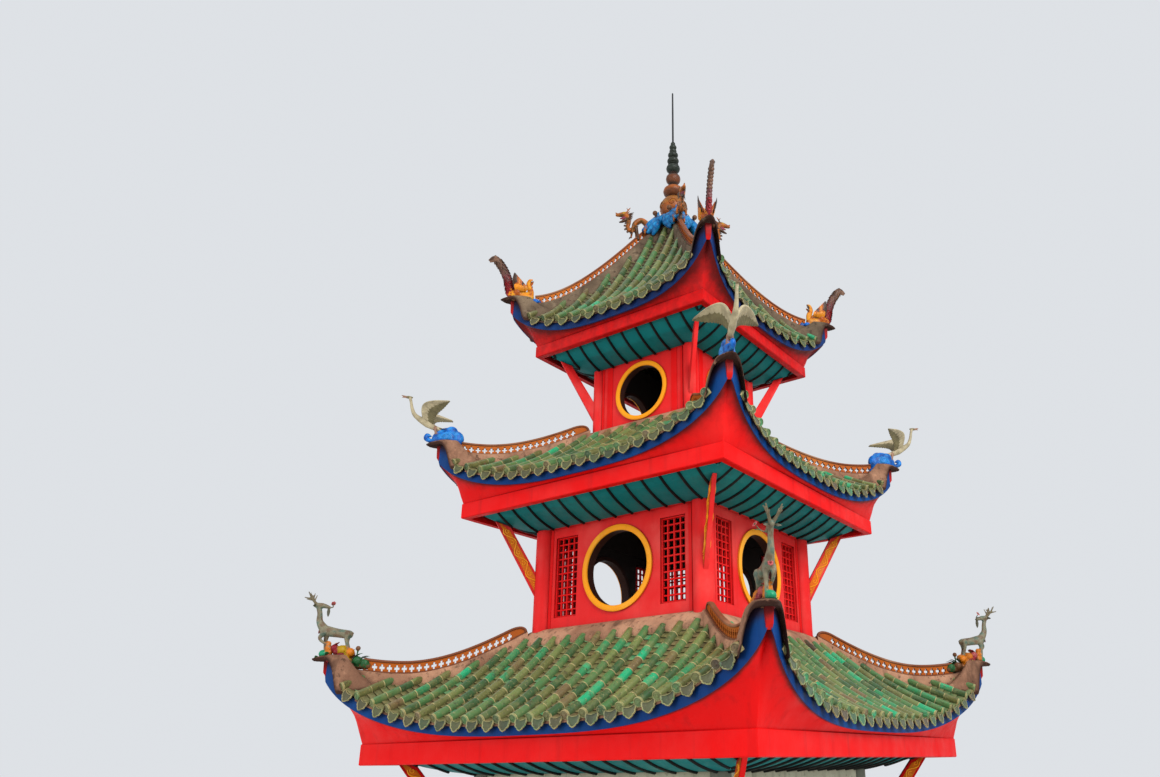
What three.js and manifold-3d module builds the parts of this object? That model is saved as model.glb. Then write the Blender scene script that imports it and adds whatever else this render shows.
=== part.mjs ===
// A square three-storey pagoda, in millimetres, +Z up. The origin is on the ground at the tower's axis,
// the front faces -Y, and every storey and roof is the same on its four sides.
import * as THREE from 'three';
import { ConvexGeometry } from 'three/addons/geometries/ConvexGeometry.js';
import { mergeVertices } from 'three/addons/utils/BufferGeometryUtils.js';
import Module from 'manifold-3d';

const wasm = await Module();
wasm.setup();

// Clearance between pieces that touch.
const GAP = 0.3;
const ROOT2 = Math.sqrt(2);
const QUARTER = Math.PI / 2;

// Plinth under the ground storey.
const PLINTH_HALF = 2210;
const PLINTH_HEIGHT = 300;

// Storeys from the ground up. Distances are from the axis: column is the centre of the round corner
// columns, wallFace the outer face of the wall, ring the wall beam that rises behind the eaves.
const GROUND = {
  floor: 300, wallTop: 3131, beamTop: 4250,
  column: 1962, columnRadius: 125, wallFace: 2000, wallThick: 150, beamFace: 2040, beamThick: 190,
};
const STOREY_2 = {
  floor: 4400, wallTop: 6640, beamTop: 7450,
  column: 1450, columnRadius: 150, wallFace: 1500, wallThick: 120, beamFace: 1550, beamThick: 200,
};
const STOREY_3 = {
  floor: 7600, wallTop: 9452, beamTop: 9900,
  column: 908, columnRadius: 100, wallFace: 950, wallThick: 100, beamFace: 970, beamThick: 120,
};
const SLAB_THICK = 150;
const SLAB_MARGIN = 60;
const COLUMN_SIDES = 16;

// Doorway and blank name board of the ground storey.
const DOOR_WIDTH = 1100;
const DOOR_TOP = 2450;
const BOARD = { width: 1250, height: 420, thick: 60, centre: 2790 };

// Round windows with their painted rings, and the lattice windows of the second storey.
const ROUND_2 = { centre: 5890, radius: 545, ring: 80 };
const ROUND_3 = { centre: 8880, radius: 430, ring: 70 };
const GROUND_WINDOW = { centre: 1850, width: 900, height: 1100 };
const RING_PROUD = 35;
const RING_BEHIND = 10;
const LATTICE = { inner: 760, outer: 1190, bottom: 5280, top: 6495 };
const ROUND_SIDES = 24;
const LUMP_AROUND = 8;
const LUMP_RINGS = 5;

// Roofs. fascia is the outer face of the red band, tip the reach of the upturned corner, hip the curve
// of the corner ridge: its lowest point and how fast it climbs to the wall and to the tip.
const ROOF_1 = {
  fascia: 3148, bandBottom: 3266, bandTop: 3547, tip: 3698, wall: GROUND, upper: STOREY_2.column + 150,
  hip: { at: 2830, height: 4415, toWall: 1050, toTip: 600 }, sag: 0.35, leaf: 230,
  ridge: { bedStart: 1630, bandStart: 1630, bandEnd: 3210 }, flashing: 105,
};
const ROOF_2 = {
  fascia: 2382, bandBottom: 6813, bandTop: 7053, tip: 2815, wall: STOREY_2, upper: STOREY_3.column + 100,
  hip: { at: 2200, height: 7795, toWall: 930, toTip: 700 }, sag: 0.35, leaf: 210,
  ridge: { bedStart: 1040, bandStart: 1040, bandEnd: 2440 }, flashing: 60,
};
const ROOF_3 = {
  fascia: 1680, bandBottom: 9651, bandTop: 9853, tip: 2125, wall: STOREY_3, upper: 150,
  hip: { at: 1850, height: 10555, toWall: 2050, toTip: 1900 }, sag: 0.5, leaf: 190,
  ridge: { bedStart: 120, bandStart: 300, bandEnd: 1720 },
};
const HIP_SPREAD = 1000;
const EAVE_RISE = 215;
const EAVE_OUT = 130;
const TILE_OVERHANG = 70;
const TIP_NOSE = 40;
const LIFT_POWER = 3;
const SWING_POWER = 3;
const LEAF_POWER = 6;
const SHELL_THICK = 90;
const BAND_THICK = 100;
const FLARE_THICK = 30;
const BOARD_THICK = 50;
const BOARD_PROUD = 10;
const OVERLAP = 20;
const FLARE_OVERLAP = 4;
const SOFFIT_THICK = 50;
const COVE_BULGE = { out: 40, up: 60 };
const COVE_STEPS = 6;
const SIDE_STEPS = 10;
const SLOPE_STEPS = 5;
const ROOF_SPACE = 1500;

// Corner ridge: a cement bed that carries a thin pierced band with its cap, and the flashing at the wall.
const BED = { width: 200, depth: 260, height: 80 };
const RIDGE_BAND = { width: 100, height: 170, roundStart: 0.35, roundRun: 160, steps: 9 };
const BED_STEPS = 6;
const FLASHING = { out: 140, lap: 20, foot: 200 };

// Cement cap over the point where the four ridges meet.
const APEX = { radius: 230, taper: 0.8, low: 12250, high: 12640, cover: 10, sides: 12 };

// Space cut out of a figure where it stands on the ridge, and the collar of clouds under the finial.
const SEAT = { width: 1000, depth: 900 };
const COLLAR = { radius: 330, taper: 0.7, low: APEX.high + GAP, high: 12700, sides: 12 };

// Braces in the corner planes, from the columns out to the soffit.
const BRACE_THICK = 60;
const BRACE_CLEAR = 3;
const BRACE_HEAD = [1, 0.67, 0.33, 0];
const BRACE_1 = { foot: 2000, footLow: 1906, footHigh: 2248, headNear: 2600, headFar: 2810 };
const BRACE_2 = { foot: 1500, footLow: 5506, footHigh: 5877, headNear: 1850, headFar: 2010 };
const BRACE_3 = { foot: 930, footLow: 8440, footHigh: 8790, headNear: 1250, headFar: 1380 };

const paint = (color, roughness) => new THREE.MeshStandardMaterial({ color, roughness, metalness: 0 });
const MATERIALS = {
  red: paint(0xd8231c, 0.55),
  blue: paint(0x0f3a86, 0.5),
  teal: paint(0x2c5f5e, 0.7),
  tile: paint(0x5f8a62, 0.4),
  cement: paint(0x8d7663, 0.9),
  yellow: paint(0xf0a01e, 0.5),
  plaster: paint(0xb9bda0, 0.9),
  stone: paint(0x8c8a80, 0.9),
  gold: paint(0xc98a1c, 0.45),
  feather: paint(0xb8b3a0, 0.7),
  deer: paint(0x70796a, 0.7),
  dark: paint(0x35342c, 0.6),
};

const pagoda = new THREE.Group();

// Adds a named piece to the tower, turned about the axis.
function add(name, geometry, material, turn = 0) {
  const mesh = new THREE.Mesh(geometry, MATERIALS[material]);
  mesh.name = name;
  mesh.rotation.z = turn;
  pagoda.add(mesh);
}

// Welds a geometry's corners and turns its faces outward.
function weld(geometry) {
  const bare = geometry.index ? geometry.clone() : mergeVertices(geometry);
  bare.deleteAttribute('normal');
  bare.deleteAttribute('uv');
  const welded = mergeVertices(bare, 0.001);
  const at = welded.attributes.position;
  const index = Array.from(welded.index.array);
  const a = new THREE.Vector3();
  const b = new THREE.Vector3();
  const c = new THREE.Vector3();
  const faces = [];
  let volume = 0;
  for (let i = 0; i < index.length; i += 3) {
    const [p, q, r] = index.slice(i, i + 3);
    if (p === q || q === r || r === p) continue;
    faces.push(p, q, r);
    a.fromBufferAttribute(at, p);
    b.fromBufferAttribute(at, q);
    c.fromBufferAttribute(at, r);
    volume += a.dot(b.cross(c));
  }
  if (volume < 0) faces.reverse();
  welded.setIndex(faces);
  return welded;
}

// A solid for joining and cutting.
function solid(geometry) {
  const welded = weld(geometry);
  const mesh = new wasm.Mesh({
    numProp: 3,
    vertProperties: new Float32Array(welded.attributes.position.array),
    triVerts: new Uint32Array(welded.index.array),
  });
  return new wasm.Manifold(mesh);
}

// The geometry of a joined or cut solid, with slivers under a tenth of a millimetre taken out.
function geometryOf(body) {
  const mesh = body.simplify(0.1).getMesh();
  const geometry = new THREE.BufferGeometry();
  geometry.setAttribute('position', new THREE.BufferAttribute(new Float32Array(mesh.vertProperties), 3));
  geometry.setIndex(Array.from(mesh.triVerts));
  return geometry;
}

const joined = (bodies) => bodies.reduce((whole, body) => whole.add(body));

// A box between two corners.
function block(low, high) {
  const size = high.map((value, i) => value - low[i]);
  const centre = high.map((value, i) => (value + low[i]) / 2);
  return new THREE.BoxGeometry(...size).translate(...centre);
}

// A plate: an outline in (across, up), given its thickness along Y, with its middle at y = 0.
function plate(outline, thick, holes = []) {
  const shape = new THREE.Shape(outline.map(([u, v]) => new THREE.Vector2(u, v)));
  shape.holes = holes;
  const settings = { depth: thick, bevelEnabled: false, curveSegments: ROUND_SIDES };
  const geometry = new THREE.ExtrudeGeometry(shape, settings);
  return geometry.translate(0, 0, -thick / 2).rotateX(QUARTER);
}

function rectangle(left, bottom, right, top) {
  return [[left, bottom], [right, bottom], [right, top], [left, top]];
}

function rectanglePath(...sides) {
  return new THREE.Path(rectangle(...sides).map(([u, v]) => new THREE.Vector2(u, v)));
}

function circlePath(centre, radius) {
  const points = [];
  for (let i = 0; i < ROUND_SIDES; i += 1) {
    const angle = (i + 0.5) * 2 * Math.PI / ROUND_SIDES;
    points.push(new THREE.Vector2(radius * Math.cos(angle), centre + radius * Math.sin(angle)));
  }
  return new THREE.Path(points);
}

// A closed ring round the four sides of the tower. section(t) is its outline at a place along a side,
// as [distance from the axis, height]; t runs from -1 at one corner to 1 at the next.
function squareRing(steps, section) {
  const count = section(0).length;
  const outline = Array.from({ length: count + 1 }, () => new THREE.Vector2(1, 0));
  const geometry = new THREE.LatheGeometry(outline, 4 * steps);
  const place = geometry.attributes.position;
  for (let i = 0; i <= 4 * steps; i += 1) {
    const side = Math.floor(i / steps) % 4;
    const t = Math.sin(QUARTER * (2 * (i % steps) / steps - 1));
    const points = section(t);
    for (let j = 0; j <= count; j += 1) {
      const [far, height] = points[j % count];
      const [x, y] = turnQuarter(t * far, -far, side);
      place.setXYZ(i * (count + 1) + j, x, y, height);
    }
  }
  return geometry;
}

function turnQuarter(x, y, quarters) {
  let spot = [x, y];
  for (let i = 0; i < quarters; i += 1) spot = [-spot[1], spot[0]];
  return spot;
}

// A limb: a round bar that follows a curve, with a radius at each of its points.
function limb(points, radii, sides) {
  const curve = new THREE.CatmullRomCurve3(points.map((point) => new THREE.Vector3(...point)));
  const bar = new THREE.CylinderGeometry(1, 1, 1, sides, points.length - 1);
  const place = bar.attributes.position;
  for (let i = 0; i < place.count; i += 1) {
    const along = Math.min(Math.max(0.5 - place.getY(i), 0), 1);
    const centre = curve.getPoint(along);
    const ahead = curve.getTangent(along);
    const side = new THREE.Vector3(0, 1, 0);
    if (Math.abs(ahead.y) > 0.9) side.set(1, 0, 0);
    const up = side.clone().cross(ahead).normalize();
    const out = ahead.clone().cross(up).normalize();
    const slot = along * (radii.length - 1);
    const low = Math.min(Math.floor(slot), radii.length - 2);
    const radius = radii[low] + (radii[low + 1] - radii[low]) * (slot - low);
    centre.addScaledVector(up, place.getX(i) * radius).addScaledVector(out, place.getZ(i) * radius);
    place.setXYZ(i, centre.x, centre.y, centre.z);
  }
  return solid(bar);
}

// A ball, stretched to its three half sizes.
function lump(centre, size) {
  return solid(new THREE.SphereGeometry(1, LUMP_AROUND, LUMP_RINGS).scale(...size).translate(...centre));
}

// Height of a roof's corner ridge line, at a distance from the axis.
function hipHeight(roof, far) {
  const { at, height, toWall, toTip } = roof.hip;
  const run = (far - at) / HIP_SPREAD;
  return height + (run < 0 ? toWall : toTip) * (Math.hypot(run, 1) - 1);
}

// Height of the middle of a roof's side.
function middleHeight(roof, far) {
  const top = hipHeight(roof, roof.upper);
  const drop = top - roof.bandTop - EAVE_RISE;
  const run = (far - roof.upper) / (roof.fascia + EAVE_OUT - roof.upper);
  return top - drop * (run + roof.sag * run * (1 - run));
}

// Height of the tiles anywhere on a side.
function tileHeight(roof, t, far) {
  const middle = middleHeight(roof, far);
  return middle + (hipHeight(roof, far) - middle) * Math.abs(t) ** LIFT_POWER;
}

// Plan line of the tiles' edge, which swings out to the tips.
function tileEdge(roof, t) {
  const start = roof.fascia + EAVE_OUT;
  return start + (roof.tip - TIP_NOSE - start) * Math.abs(t) ** SWING_POWER;
}

const boardFace = (roof, t) => tileEdge(roof, t) - TILE_OVERHANG;
const boardTop = (roof, t, far) => tileHeight(roof, t, far) - SHELL_THICK;

// The blue board's lower edge: it stands on the band in the middle and widens to a leaf at the tips.
function boardBottom(roof, t) {
  const middle = boardTop(roof, 0, boardFace(roof, 0)) - roof.bandTop - 2 * BOARD_PROUD;
  const growth = (roof.leaf - middle) * Math.abs(t) ** LEAF_POWER;
  return boardTop(roof, t, boardFace(roof, t)) - middle - growth;
}

// The shell of tiles and the slab under them.
function tileShell(roof, raise = 0, thick = SHELL_THICK) {
  return squareRing(SIDE_STEPS, (t) => {
    const inner = roof.upper + GAP;
    const outer = tileEdge(roof, t);
    const top = [];
    const bottom = [];
    for (let i = 0; i <= SLOPE_STEPS; i += 1) {
      const far = inner + (outer - inner) * i / SLOPE_STEPS;
      const height = tileHeight(roof, t, far);
      top.push([far, height + raise]);
      bottom.unshift([far, height - thick]);
    }
    return [...top, ...bottom];
  });
}

// The blue eave board: made a little too high, then cut to the underside of the tiles' slab.
function eaveBoard(roof) {
  const ring = squareRing(SIDE_STEPS, (t) => {
    const outer = boardFace(roof, t);
    const inner = outer - BOARD_THICK;
    const low = boardBottom(roof, t);
    const high = (far) => boardTop(roof, t, far) + OVERLAP;
    return [[outer, low], [outer, high(outer)], [inner, high(inner)], [inner, low]];
  });
  return solid(ring).subtract(solid(tileShell(roof)).translate([0, 0, -GAP]));
}

// The straight red band with the flared boards that rise from it, cut to the eave board above them.
function fascia(roof) {
  const ring = squareRing(SIDE_STEPS, (t) => {
    const outer = boardFace(roof, t) - BOARD_PROUD;
    const high = boardBottom(roof, t) + FLARE_OVERLAP;
    return [
      [roof.fascia, roof.bandBottom],
      [roof.fascia, roof.bandTop],
      [outer, high],
      [outer - FLARE_THICK, high],
      [roof.fascia - BAND_THICK, roof.bandTop - FLARE_THICK],
      [roof.fascia - BAND_THICK, roof.bandBottom],
    ];
  });
  return solid(ring).subtract(eaveBoard(roof).translate([0, 0, -GAP]));
}

// The cove under the eaves: level at the wall, then curving up behind the band.
function soffitCurve(roof) {
  const start = new THREE.Vector2(roof.wall.beamFace + GAP, roof.wall.wallTop + GAP);
  const endHeight = roof.bandTop - FLARE_THICK - SOFFIT_THICK;
  const end = new THREE.Vector2(roof.fascia - BAND_THICK - GAP, endHeight);
  const bulge = new THREE.Vector2((start.x + end.x) / 2 + COVE_BULGE.out, start.y + COVE_BULGE.up);
  return new THREE.QuadraticBezierCurve(start, bulge, end);
}

function soffit(roof) {
  const points = soffitCurve(roof).getPoints(COVE_STEPS);
  const under = points.map((point) => [point.x, point.y]);
  const over = points.map((point) => [point.x, point.y + SOFFIT_THICK]).reverse();
  return squareRing(1, () => [...under, ...over]);
}

// Height of the cove's underside, at a distance from the axis.
function soffitHeight(roof, far) {
  const points = soffitCurve(roof).getPoints(COVE_STEPS);
  const next = points.findIndex((point) => point.x >= far);
  const [a, b] = [points[next - 1], points[next]];
  return a.y + (b.y - a.y) * (far - a.x) / (b.x - a.x);
}

// A plate in the corner plane, between two heights given along the ridge.
function hipPlate(width, from, to, low, high, steps) {
  const lower = [];
  const upper = [];
  for (let i = 0; i <= steps; i += 1) {
    const far = from + (to - from) * i / steps;
    lower.push([far * ROOT2, low(far)]);
    upper.unshift([far * ROOT2, high(far)]);
  }
  return solid(plate([...lower, ...upper], width));
}

const CORNER_TURNS = [-0.5, 0.5, 1.5, 2.5].map((quarters) => quarters * QUARTER);
const CORNER_NAMES = ['front_right', 'rear_right', 'rear_left', 'front_left'];
const SIDE_NAMES = ['front', 'right', 'rear', 'left'];
const DEGREES = 180 / Math.PI;

// Copies of a corner piece at the four corners, joined.
const atCorners = (body) => joined(CORNER_TURNS.map((turn) => body.rotate([0, 0, turn * DEGREES])));

// Bed and pierced band of one corner ridge; the band ends where the figure's base begins. The same
// outline, wider, deeper and lifted by the clearance, cuts what stands on the ridge.
function cornerRidge(roof, size = { bed: BED.width, band: RIDGE_BAND.width, depth: BED.depth, lift: 0 }) {
  const { bedStart, bandStart, bandEnd } = roof.ridge;
  const low = (far) => hipHeight(roof, far) - size.depth;
  const bedTop = (far) => Math.min(hipHeight(roof, far) + BED.height, APEX.high - APEX.cover) + size.lift;
  const bed = hipPlate(size.bed, bedStart, roof.tip, low, bedTop, BED_STEPS);
  const round = (far) => Math.min(1, RIDGE_BAND.roundStart + (far - bandStart) / RIDGE_BAND.roundRun);
  const bandTop = (far) => hipHeight(roof, far) + BED.height + RIDGE_BAND.height * round(far) + size.lift;
  const band = hipPlate(size.band, bandStart, bandEnd + size.lift, low, bandTop, RIDGE_BAND.steps);
  return bed.add(band);
}

// Sloping cement fillet between the tiles and the wall of the storey above.
function flashing(roof, storey) {
  const inner = storey.wallFace + GAP;
  const outer = roof.upper + FLASHING.out;
  const high = hipHeight(roof, roof.upper) + roof.flashing;
  const low = middleHeight(roof, outer) + FLASHING.lap;
  const foot = low - FLASHING.foot;
  return solid(squareRing(1, () => [[inner, foot], [outer, foot], [outer, low], [inner, high]]));
}

function columnAt(storey, radius, low, high) {
  const body = new THREE.CylinderGeometry(radius, radius, high - low, COLUMN_SIDES);
  return body.rotateX(QUARTER).translate(storey.column, -storey.column, (low + high) / 2);
}

function fourColumns(storey, radius, low, high) {
  const one = solid(columnAt(storey, radius, low, high));
  return joined([0, 90, 180, 270].map((degrees) => one.rotate([0, 0, degrees])));
}

function ridges(roof, storey) {
  const body = atCorners(cornerRidge(roof));
  const inside = solid(tileShell(roof, GAP, ROOF_SPACE));
  if (storey) {
    const half = storey.wallFace + GAP;
    const shaft = solid(block([-half, -half, storey.floor], [half, half, storey.wallTop]));
    const columns = fourColumns(storey, storey.columnRadius + 2 * GAP, storey.floor, storey.wallTop);
    return body.add(flashing(roof, storey)).subtract(inside).subtract(shaft.add(columns));
  }
  return body.add(apexCap()).subtract(inside);
}

function apexCap() {
  const height = APEX.high - APEX.low;
  const body = new THREE.CylinderGeometry(APEX.radius * APEX.taper, APEX.radius, height, APEX.sides);
  return solid(body.rotateX(QUARTER).translate(0, 0, (APEX.low + APEX.high) / 2));
}

// A brace: a plank in the corner plane, cut to the soffit at its head and to the column at its foot.
function brace(roof, storey, size) {
  const head = BRACE_HEAD.map((share) => {
    const far = size.headNear + (size.headFar - size.headNear) * share;
    return [far * ROOT2, soffitHeight(roof, far) - BRACE_CLEAR];
  });
  const outline = [[size.foot * ROOT2, size.footLow], ...head, [size.foot * ROOT2, size.footHigh]];
  return solid(plate(outline, BRACE_THICK));
}

function squareTube(outer, thick, low, high) {
  return solid(squareRing(1, () => rectangle(outer - thick, low, outer, high)));
}

// Columns, the wall beam above them and the braces, as one frame.
function frame(storey, roof, size) {
  const columns = fourColumns(storey, storey.columnRadius, storey.floor + GAP, storey.wallTop);
  const low = storey.wallTop - GAP;
  const beam = squareTube(storey.beamFace, storey.beamThick, low, storey.beamTop);
  return joined([columns, beam, atCorners(brace(roof, storey, size))]);
}

// A wall panel between two columns, standing at the front.
function wall(storey, holes) {
  const half = storey.column - storey.columnRadius - GAP;
  const outline = rectangle(-half, storey.floor + GAP, half, storey.wallTop - 2 * GAP);
  return plate(outline, storey.wallThick, holes).translate(0, -storey.wallFace + storey.wallThick / 2, 0);
}

function windowRing(storey, round) {
  const front = storey.wallFace + RING_PROUD;
  const back = storey.wallFace - storey.wallThick - RING_BEHIND;
  const inner = round.radius;
  const outer = round.radius + round.ring - GAP;
  const outline = [[inner, back], [outer, back], [outer, front], [inner, front], [inner, back]];
  const points = outline.map(([u, v]) => new THREE.Vector2(u, v));
  const turned = new THREE.LatheGeometry(points, ROUND_SIDES, Math.PI / ROUND_SIDES);
  return turned.rotateX(Math.PI).translate(0, 0, round.centre);
}

const roundHole = (round) => circlePath(round.centre, round.radius + round.ring);

function floorSlab(storey, half) {
  return block([-half, -half, storey.floor - SLAB_THICK + GAP], [half, half, storey.floor]);
}

// Figures. A limb is a round bar through spots, with a radius for each and a number of sides; a spot is
// [distance from the axis, sideways, height] in the corner plane. A lump is a ball, and a blade a thin
// plate spanned by panels of spots. The pairs stand on both sides of the corner plane.
const DEER = {
  limbs: {
    rock: {
      spots: [[3160, 0, 4610], [3290, 0, 4640], [3430, 0, 4680], [3610, 0, 4610]],
      radii: [50, 120, 140, 60], sides: 6,
    },
    body: { spots: [[3385, 0, 5035], [3500, 0, 5055], [3620, 0, 5085]], radii: [62, 66, 76], sides: 6 },
    neck: {
      spots: [[3625, 0, 5095], [3680, 0, 5210], [3690, 0, 5330], [3712, 0, 5430]],
      radii: [68, 44, 36, 36], sides: 5,
    },
    head: { spots: [[3735, 0, 5445], [3670, 0, 5440], [3597, 0, 5415]], radii: [36, 38, 18], sides: 5 },
    sprig: { spots: [[3608, 0, 5420], [3606, 0, 5280]], radii: [16, 12], sides: 4 },
    standingLeg: {
      spots: [[3600, -40, 5040], [3612, -46, 4900], [3600, -46, 4700]],
      radii: [42, 22, 22], sides: 4,
    },
    raisedLeg: {
      spots: [[3620, 42, 5050], [3650, 46, 4965], [3552, 46, 4860]],
      radii: [42, 24, 16], sides: 4,
    },
    flowerStem: { spots: [[3470, 0, 4700], [3492, 0, 4890]], radii: [24, 40], sides: 5 },
    budStem: { spots: [[3290, 0, 4700], [3278, 0, 4850]], radii: [14, 30], sides: 5 },
  },
  limbPairs: {
    hindLeg: {
      spots: [[3395, 42, 5040], [3385, 48, 4930], [3355, 48, 4720]],
      radii: [52, 28, 22], sides: 4,
    },
    antler: {
      spots: [[3735, 18, 5465], [3780, 60, 5540], [3800, 88, 5650]],
      radii: [20, 15, 10], sides: 4,
    },
    tine: { spots: [[3775, 55, 5530], [3845, 75, 5560]], radii: [13, 8], sides: 4 },
  },
  lumps: { jadeBall: { centre: [3630, 0, 4700], size: [55, 50, 50] } },
  bladePairs: {},
};
const CRANE = {
  limbs: {
    cloudFoot: {
      spots: [[2450, 0, 7960], [2600, 0, 7960], [2760, 0, 7970]],
      radii: [110, 150, 100], sides: 6,
    },
    cloudCurl: {
      spots: [[2760, 0, 7985], [2830, 0, 8010], [2862, 0, 8090], [2815, 0, 8140]],
      radii: [50, 40, 38, 28], sides: 5,
    },
    body: { spots: [[2700, 0, 8250], [2770, 0, 8355], [2850, 0, 8465]], radii: [42, 64, 50], sides: 6 },
    neck: {
      spots: [[2840, 0, 8460], [2900, 0, 8530], [2932, 0, 8625], [2960, 0, 8710], [2985, 0, 8770]],
      radii: [46, 26, 19, 18, 22], sides: 5,
    },
    head: { spots: [[2950, 0, 8782], [2995, 0, 8775], [3055, 0, 8788]], radii: [10, 26, 6], sides: 4 },
    tail: { spots: [[2740, 0, 8310], [2660, 0, 8270], [2590, 0, 8240]], radii: [46, 30, 10], sides: 4 },
  },
  limbPairs: {
    leg: { spots: [[2715, 28, 8290], [2735, 48, 8110], [2730, 50, 7980]], radii: [16, 14, 14], sides: 4 },
  },
  lumps: {
    cloudBack: { centre: [2567, 0, 8085], size: [175, 150, 165] },
    cloudFront: { centre: [2700, 0, 8035], size: [120, 120, 125] },
  },
  bladePairs: {
    wing: {
      thick: 18,
      panels: [
        [[2862, 20, 8500], [2842, 150, 8620], [2740, 150, 8505], [2778, 20, 8435]],
        [[2842, 150, 8620], [2790, 290, 8618], [2690, 440, 8560], [2700, 280, 8500], [2740, 150, 8505]],
      ],
    },
  },
};
const PHOENIX = {
  limbs: {
    foot: {
      spots: [[1730, 0, 10720], [1880, 0, 10730], [2040, 0, 10760]],
      radii: [70, 110, 60], sides: 6,
    },
    body: {
      spots: [[1790, 0, 10810], [1900, 0, 10830], [2020, 0, 10860]],
      radii: [75, 110, 80], sides: 6,
    },
    neck: {
      spots: [[2020, 0, 10830], [2045, 0, 10980], [2075, 0, 11130], [2130, 0, 11310], [2210, 0, 11470]],
      radii: [68, 62, 62, 62, 60], sides: 6,
    },
    head: {
      spots: [[2200, 0, 11470], [2245, 0, 11510], [2305, 0, 11455]],
      radii: [56, 56, 14], sides: 5,
    },
    tail: {
      spots: [[1800, 0, 10850], [1790, 0, 10960], [1825, 0, 11080], [1808, 0, 11165], [1768, 0, 11150]],
      radii: [46, 34, 28, 26, 14], sides: 5,
    },
  },
  limbPairs: {},
  lumps: {},
  bladePairs: {
    wing: {
      thick: 32,
      panels: [
        [
          [1945, 60, 10890], [2012, 130, 11130], [1996, 160, 11240], [1880, 150, 11090], [1858, 80, 10890],
        ],
      ],
    },
  },
};
const DRAGON = {
  limbs: {
    body: {
      spots: [
        [235, 0, 12450], [315, 0, 12450], [360, 0, 12550], [433, 0, 12605], [505, 0, 12530],
        [530, 0, 12400], [570, 0, 12350], [610, 0, 12420], [588, 0, 12540], [610, 0, 12650],
      ],
      radii: [50, 44, 42, 44, 44, 46, 44, 40, 36, 40], sides: 6,
    },
    head: { spots: [[590, 0, 12650], [680, 0, 12655], [752, 0, 12645]], radii: [44, 40, 14], sides: 5 },
    jaw: { spots: [[630, 0, 12610], [698, 0, 12485]], radii: [28, 12], sides: 4 },
    cloud: {
      spots: [[390, 0, 12390], [300, 0, 12440], [220, 0, 12550], [140, 0, 12640]],
      radii: [40, 74, 76, 50], sides: 6,
    },
    ballStem: { spots: [[225, 0, 12560], [250, 0, 12725]], radii: [16, 16], sides: 4 },
  },
  limbPairs: {
    leg: { spots: [[525, 20, 12400], [505, 60, 12200]], radii: [26, 22], sides: 4 },
    antler: { spots: [[620, 18, 12680], [575, 70, 12810]], radii: [18, 9], sides: 4 },
  },
  lumps: { ball: { centre: [252, 0, 12728], size: [42, 42, 42] } },
  bladePairs: {},
};

const spot = ([far, y, z], side = 1) => [far * ROOT2, y * side, z];

function limbOf({ spots, radii, sides }, side) {
  return limb(spots.map((place) => spot(place, side)), radii, sides);
}

// A thin plate over the corners of a panel.
function blade(corners, thick) {
  const points = corners.map((corner) => new THREE.Vector3(...corner));
  const normal = new THREE.Triangle(...points).getNormal(new THREE.Vector3());
  const moved = (share) => points.map((point) => point.clone().addScaledVector(normal, share * thick));
  return solid(new ConvexGeometry([...moved(-0.5), ...moved(0.5)]));
}

// All limbs, lumps and blades of a figure, joined.
function modelled(design) {
  const bodies = Object.values(design.limbs).map((part) => limbOf(part, 1));
  Object.values(design.lumps).forEach(({ centre, size }) => bodies.push(lump(spot(centre), size)));
  [1, -1].forEach((side) => {
    Object.values(design.limbPairs).forEach((part) => bodies.push(limbOf(part, side)));
    Object.values(design.bladePairs).forEach(({ thick, panels }) => {
      panels.forEach((panel) => bodies.push(blade(panel.map((place) => spot(place, side)), thick)));
    });
  });
  return joined(bodies);
}

// Sets a figure on its corner ridge, in the corner plane along +X.
function seated(roof, body) {
  const clearance = { bed: SEAT.width, band: SEAT.width, depth: SEAT.depth, lift: GAP };
  return body.subtract(cornerRidge(roof, clearance));
}

// The four dragons, moulded in one with the collar of clouds that the finial stands on.
function apexDragons(roof) {
  const dragons = atCorners(seated(roof, modelled(DRAGON)));
  const { radius, taper, low, high, sides } = COLLAR;
  const collar = new THREE.CylinderGeometry(radius * taper, radius, high - low, sides);
  const clouds = solid(collar.rotateX(QUARTER).translate(0, 0, (low + high) / 2));
  return geometryOf(dragons.add(clouds));
}

// Finial: cloud collar, gourd ball, dark bulge, stacked beads and the rod, as [radius, height].
const FINIAL = [
  [0, 12700.3], [230, 12700.3], [300, 12760], [280, 12860], [200, 12830], [238, 12930], [245, 13000],
  [215, 13120], [120, 13215], [105, 13240], [165, 13300], [168, 13370], [150, 13450], [95, 13510],
  [114, 13560], [112, 13640], [92, 13700], [76, 13780], [110, 13840], [106, 13910], [80, 13960],
  [84, 14060], [74, 14130], [78, 14190], [58, 14290], [46, 14380], [40, 14450], [18, 14480], [13, 15640],
  [0, 15664],
];
const FINIAL_SIDES = 12;

function finial() {
  const outline = FINIAL.map(([radius, height]) => new THREE.Vector2(radius, height));
  return new THREE.LatheGeometry(outline, FINIAL_SIDES).rotateX(QUARTER);
}

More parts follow.
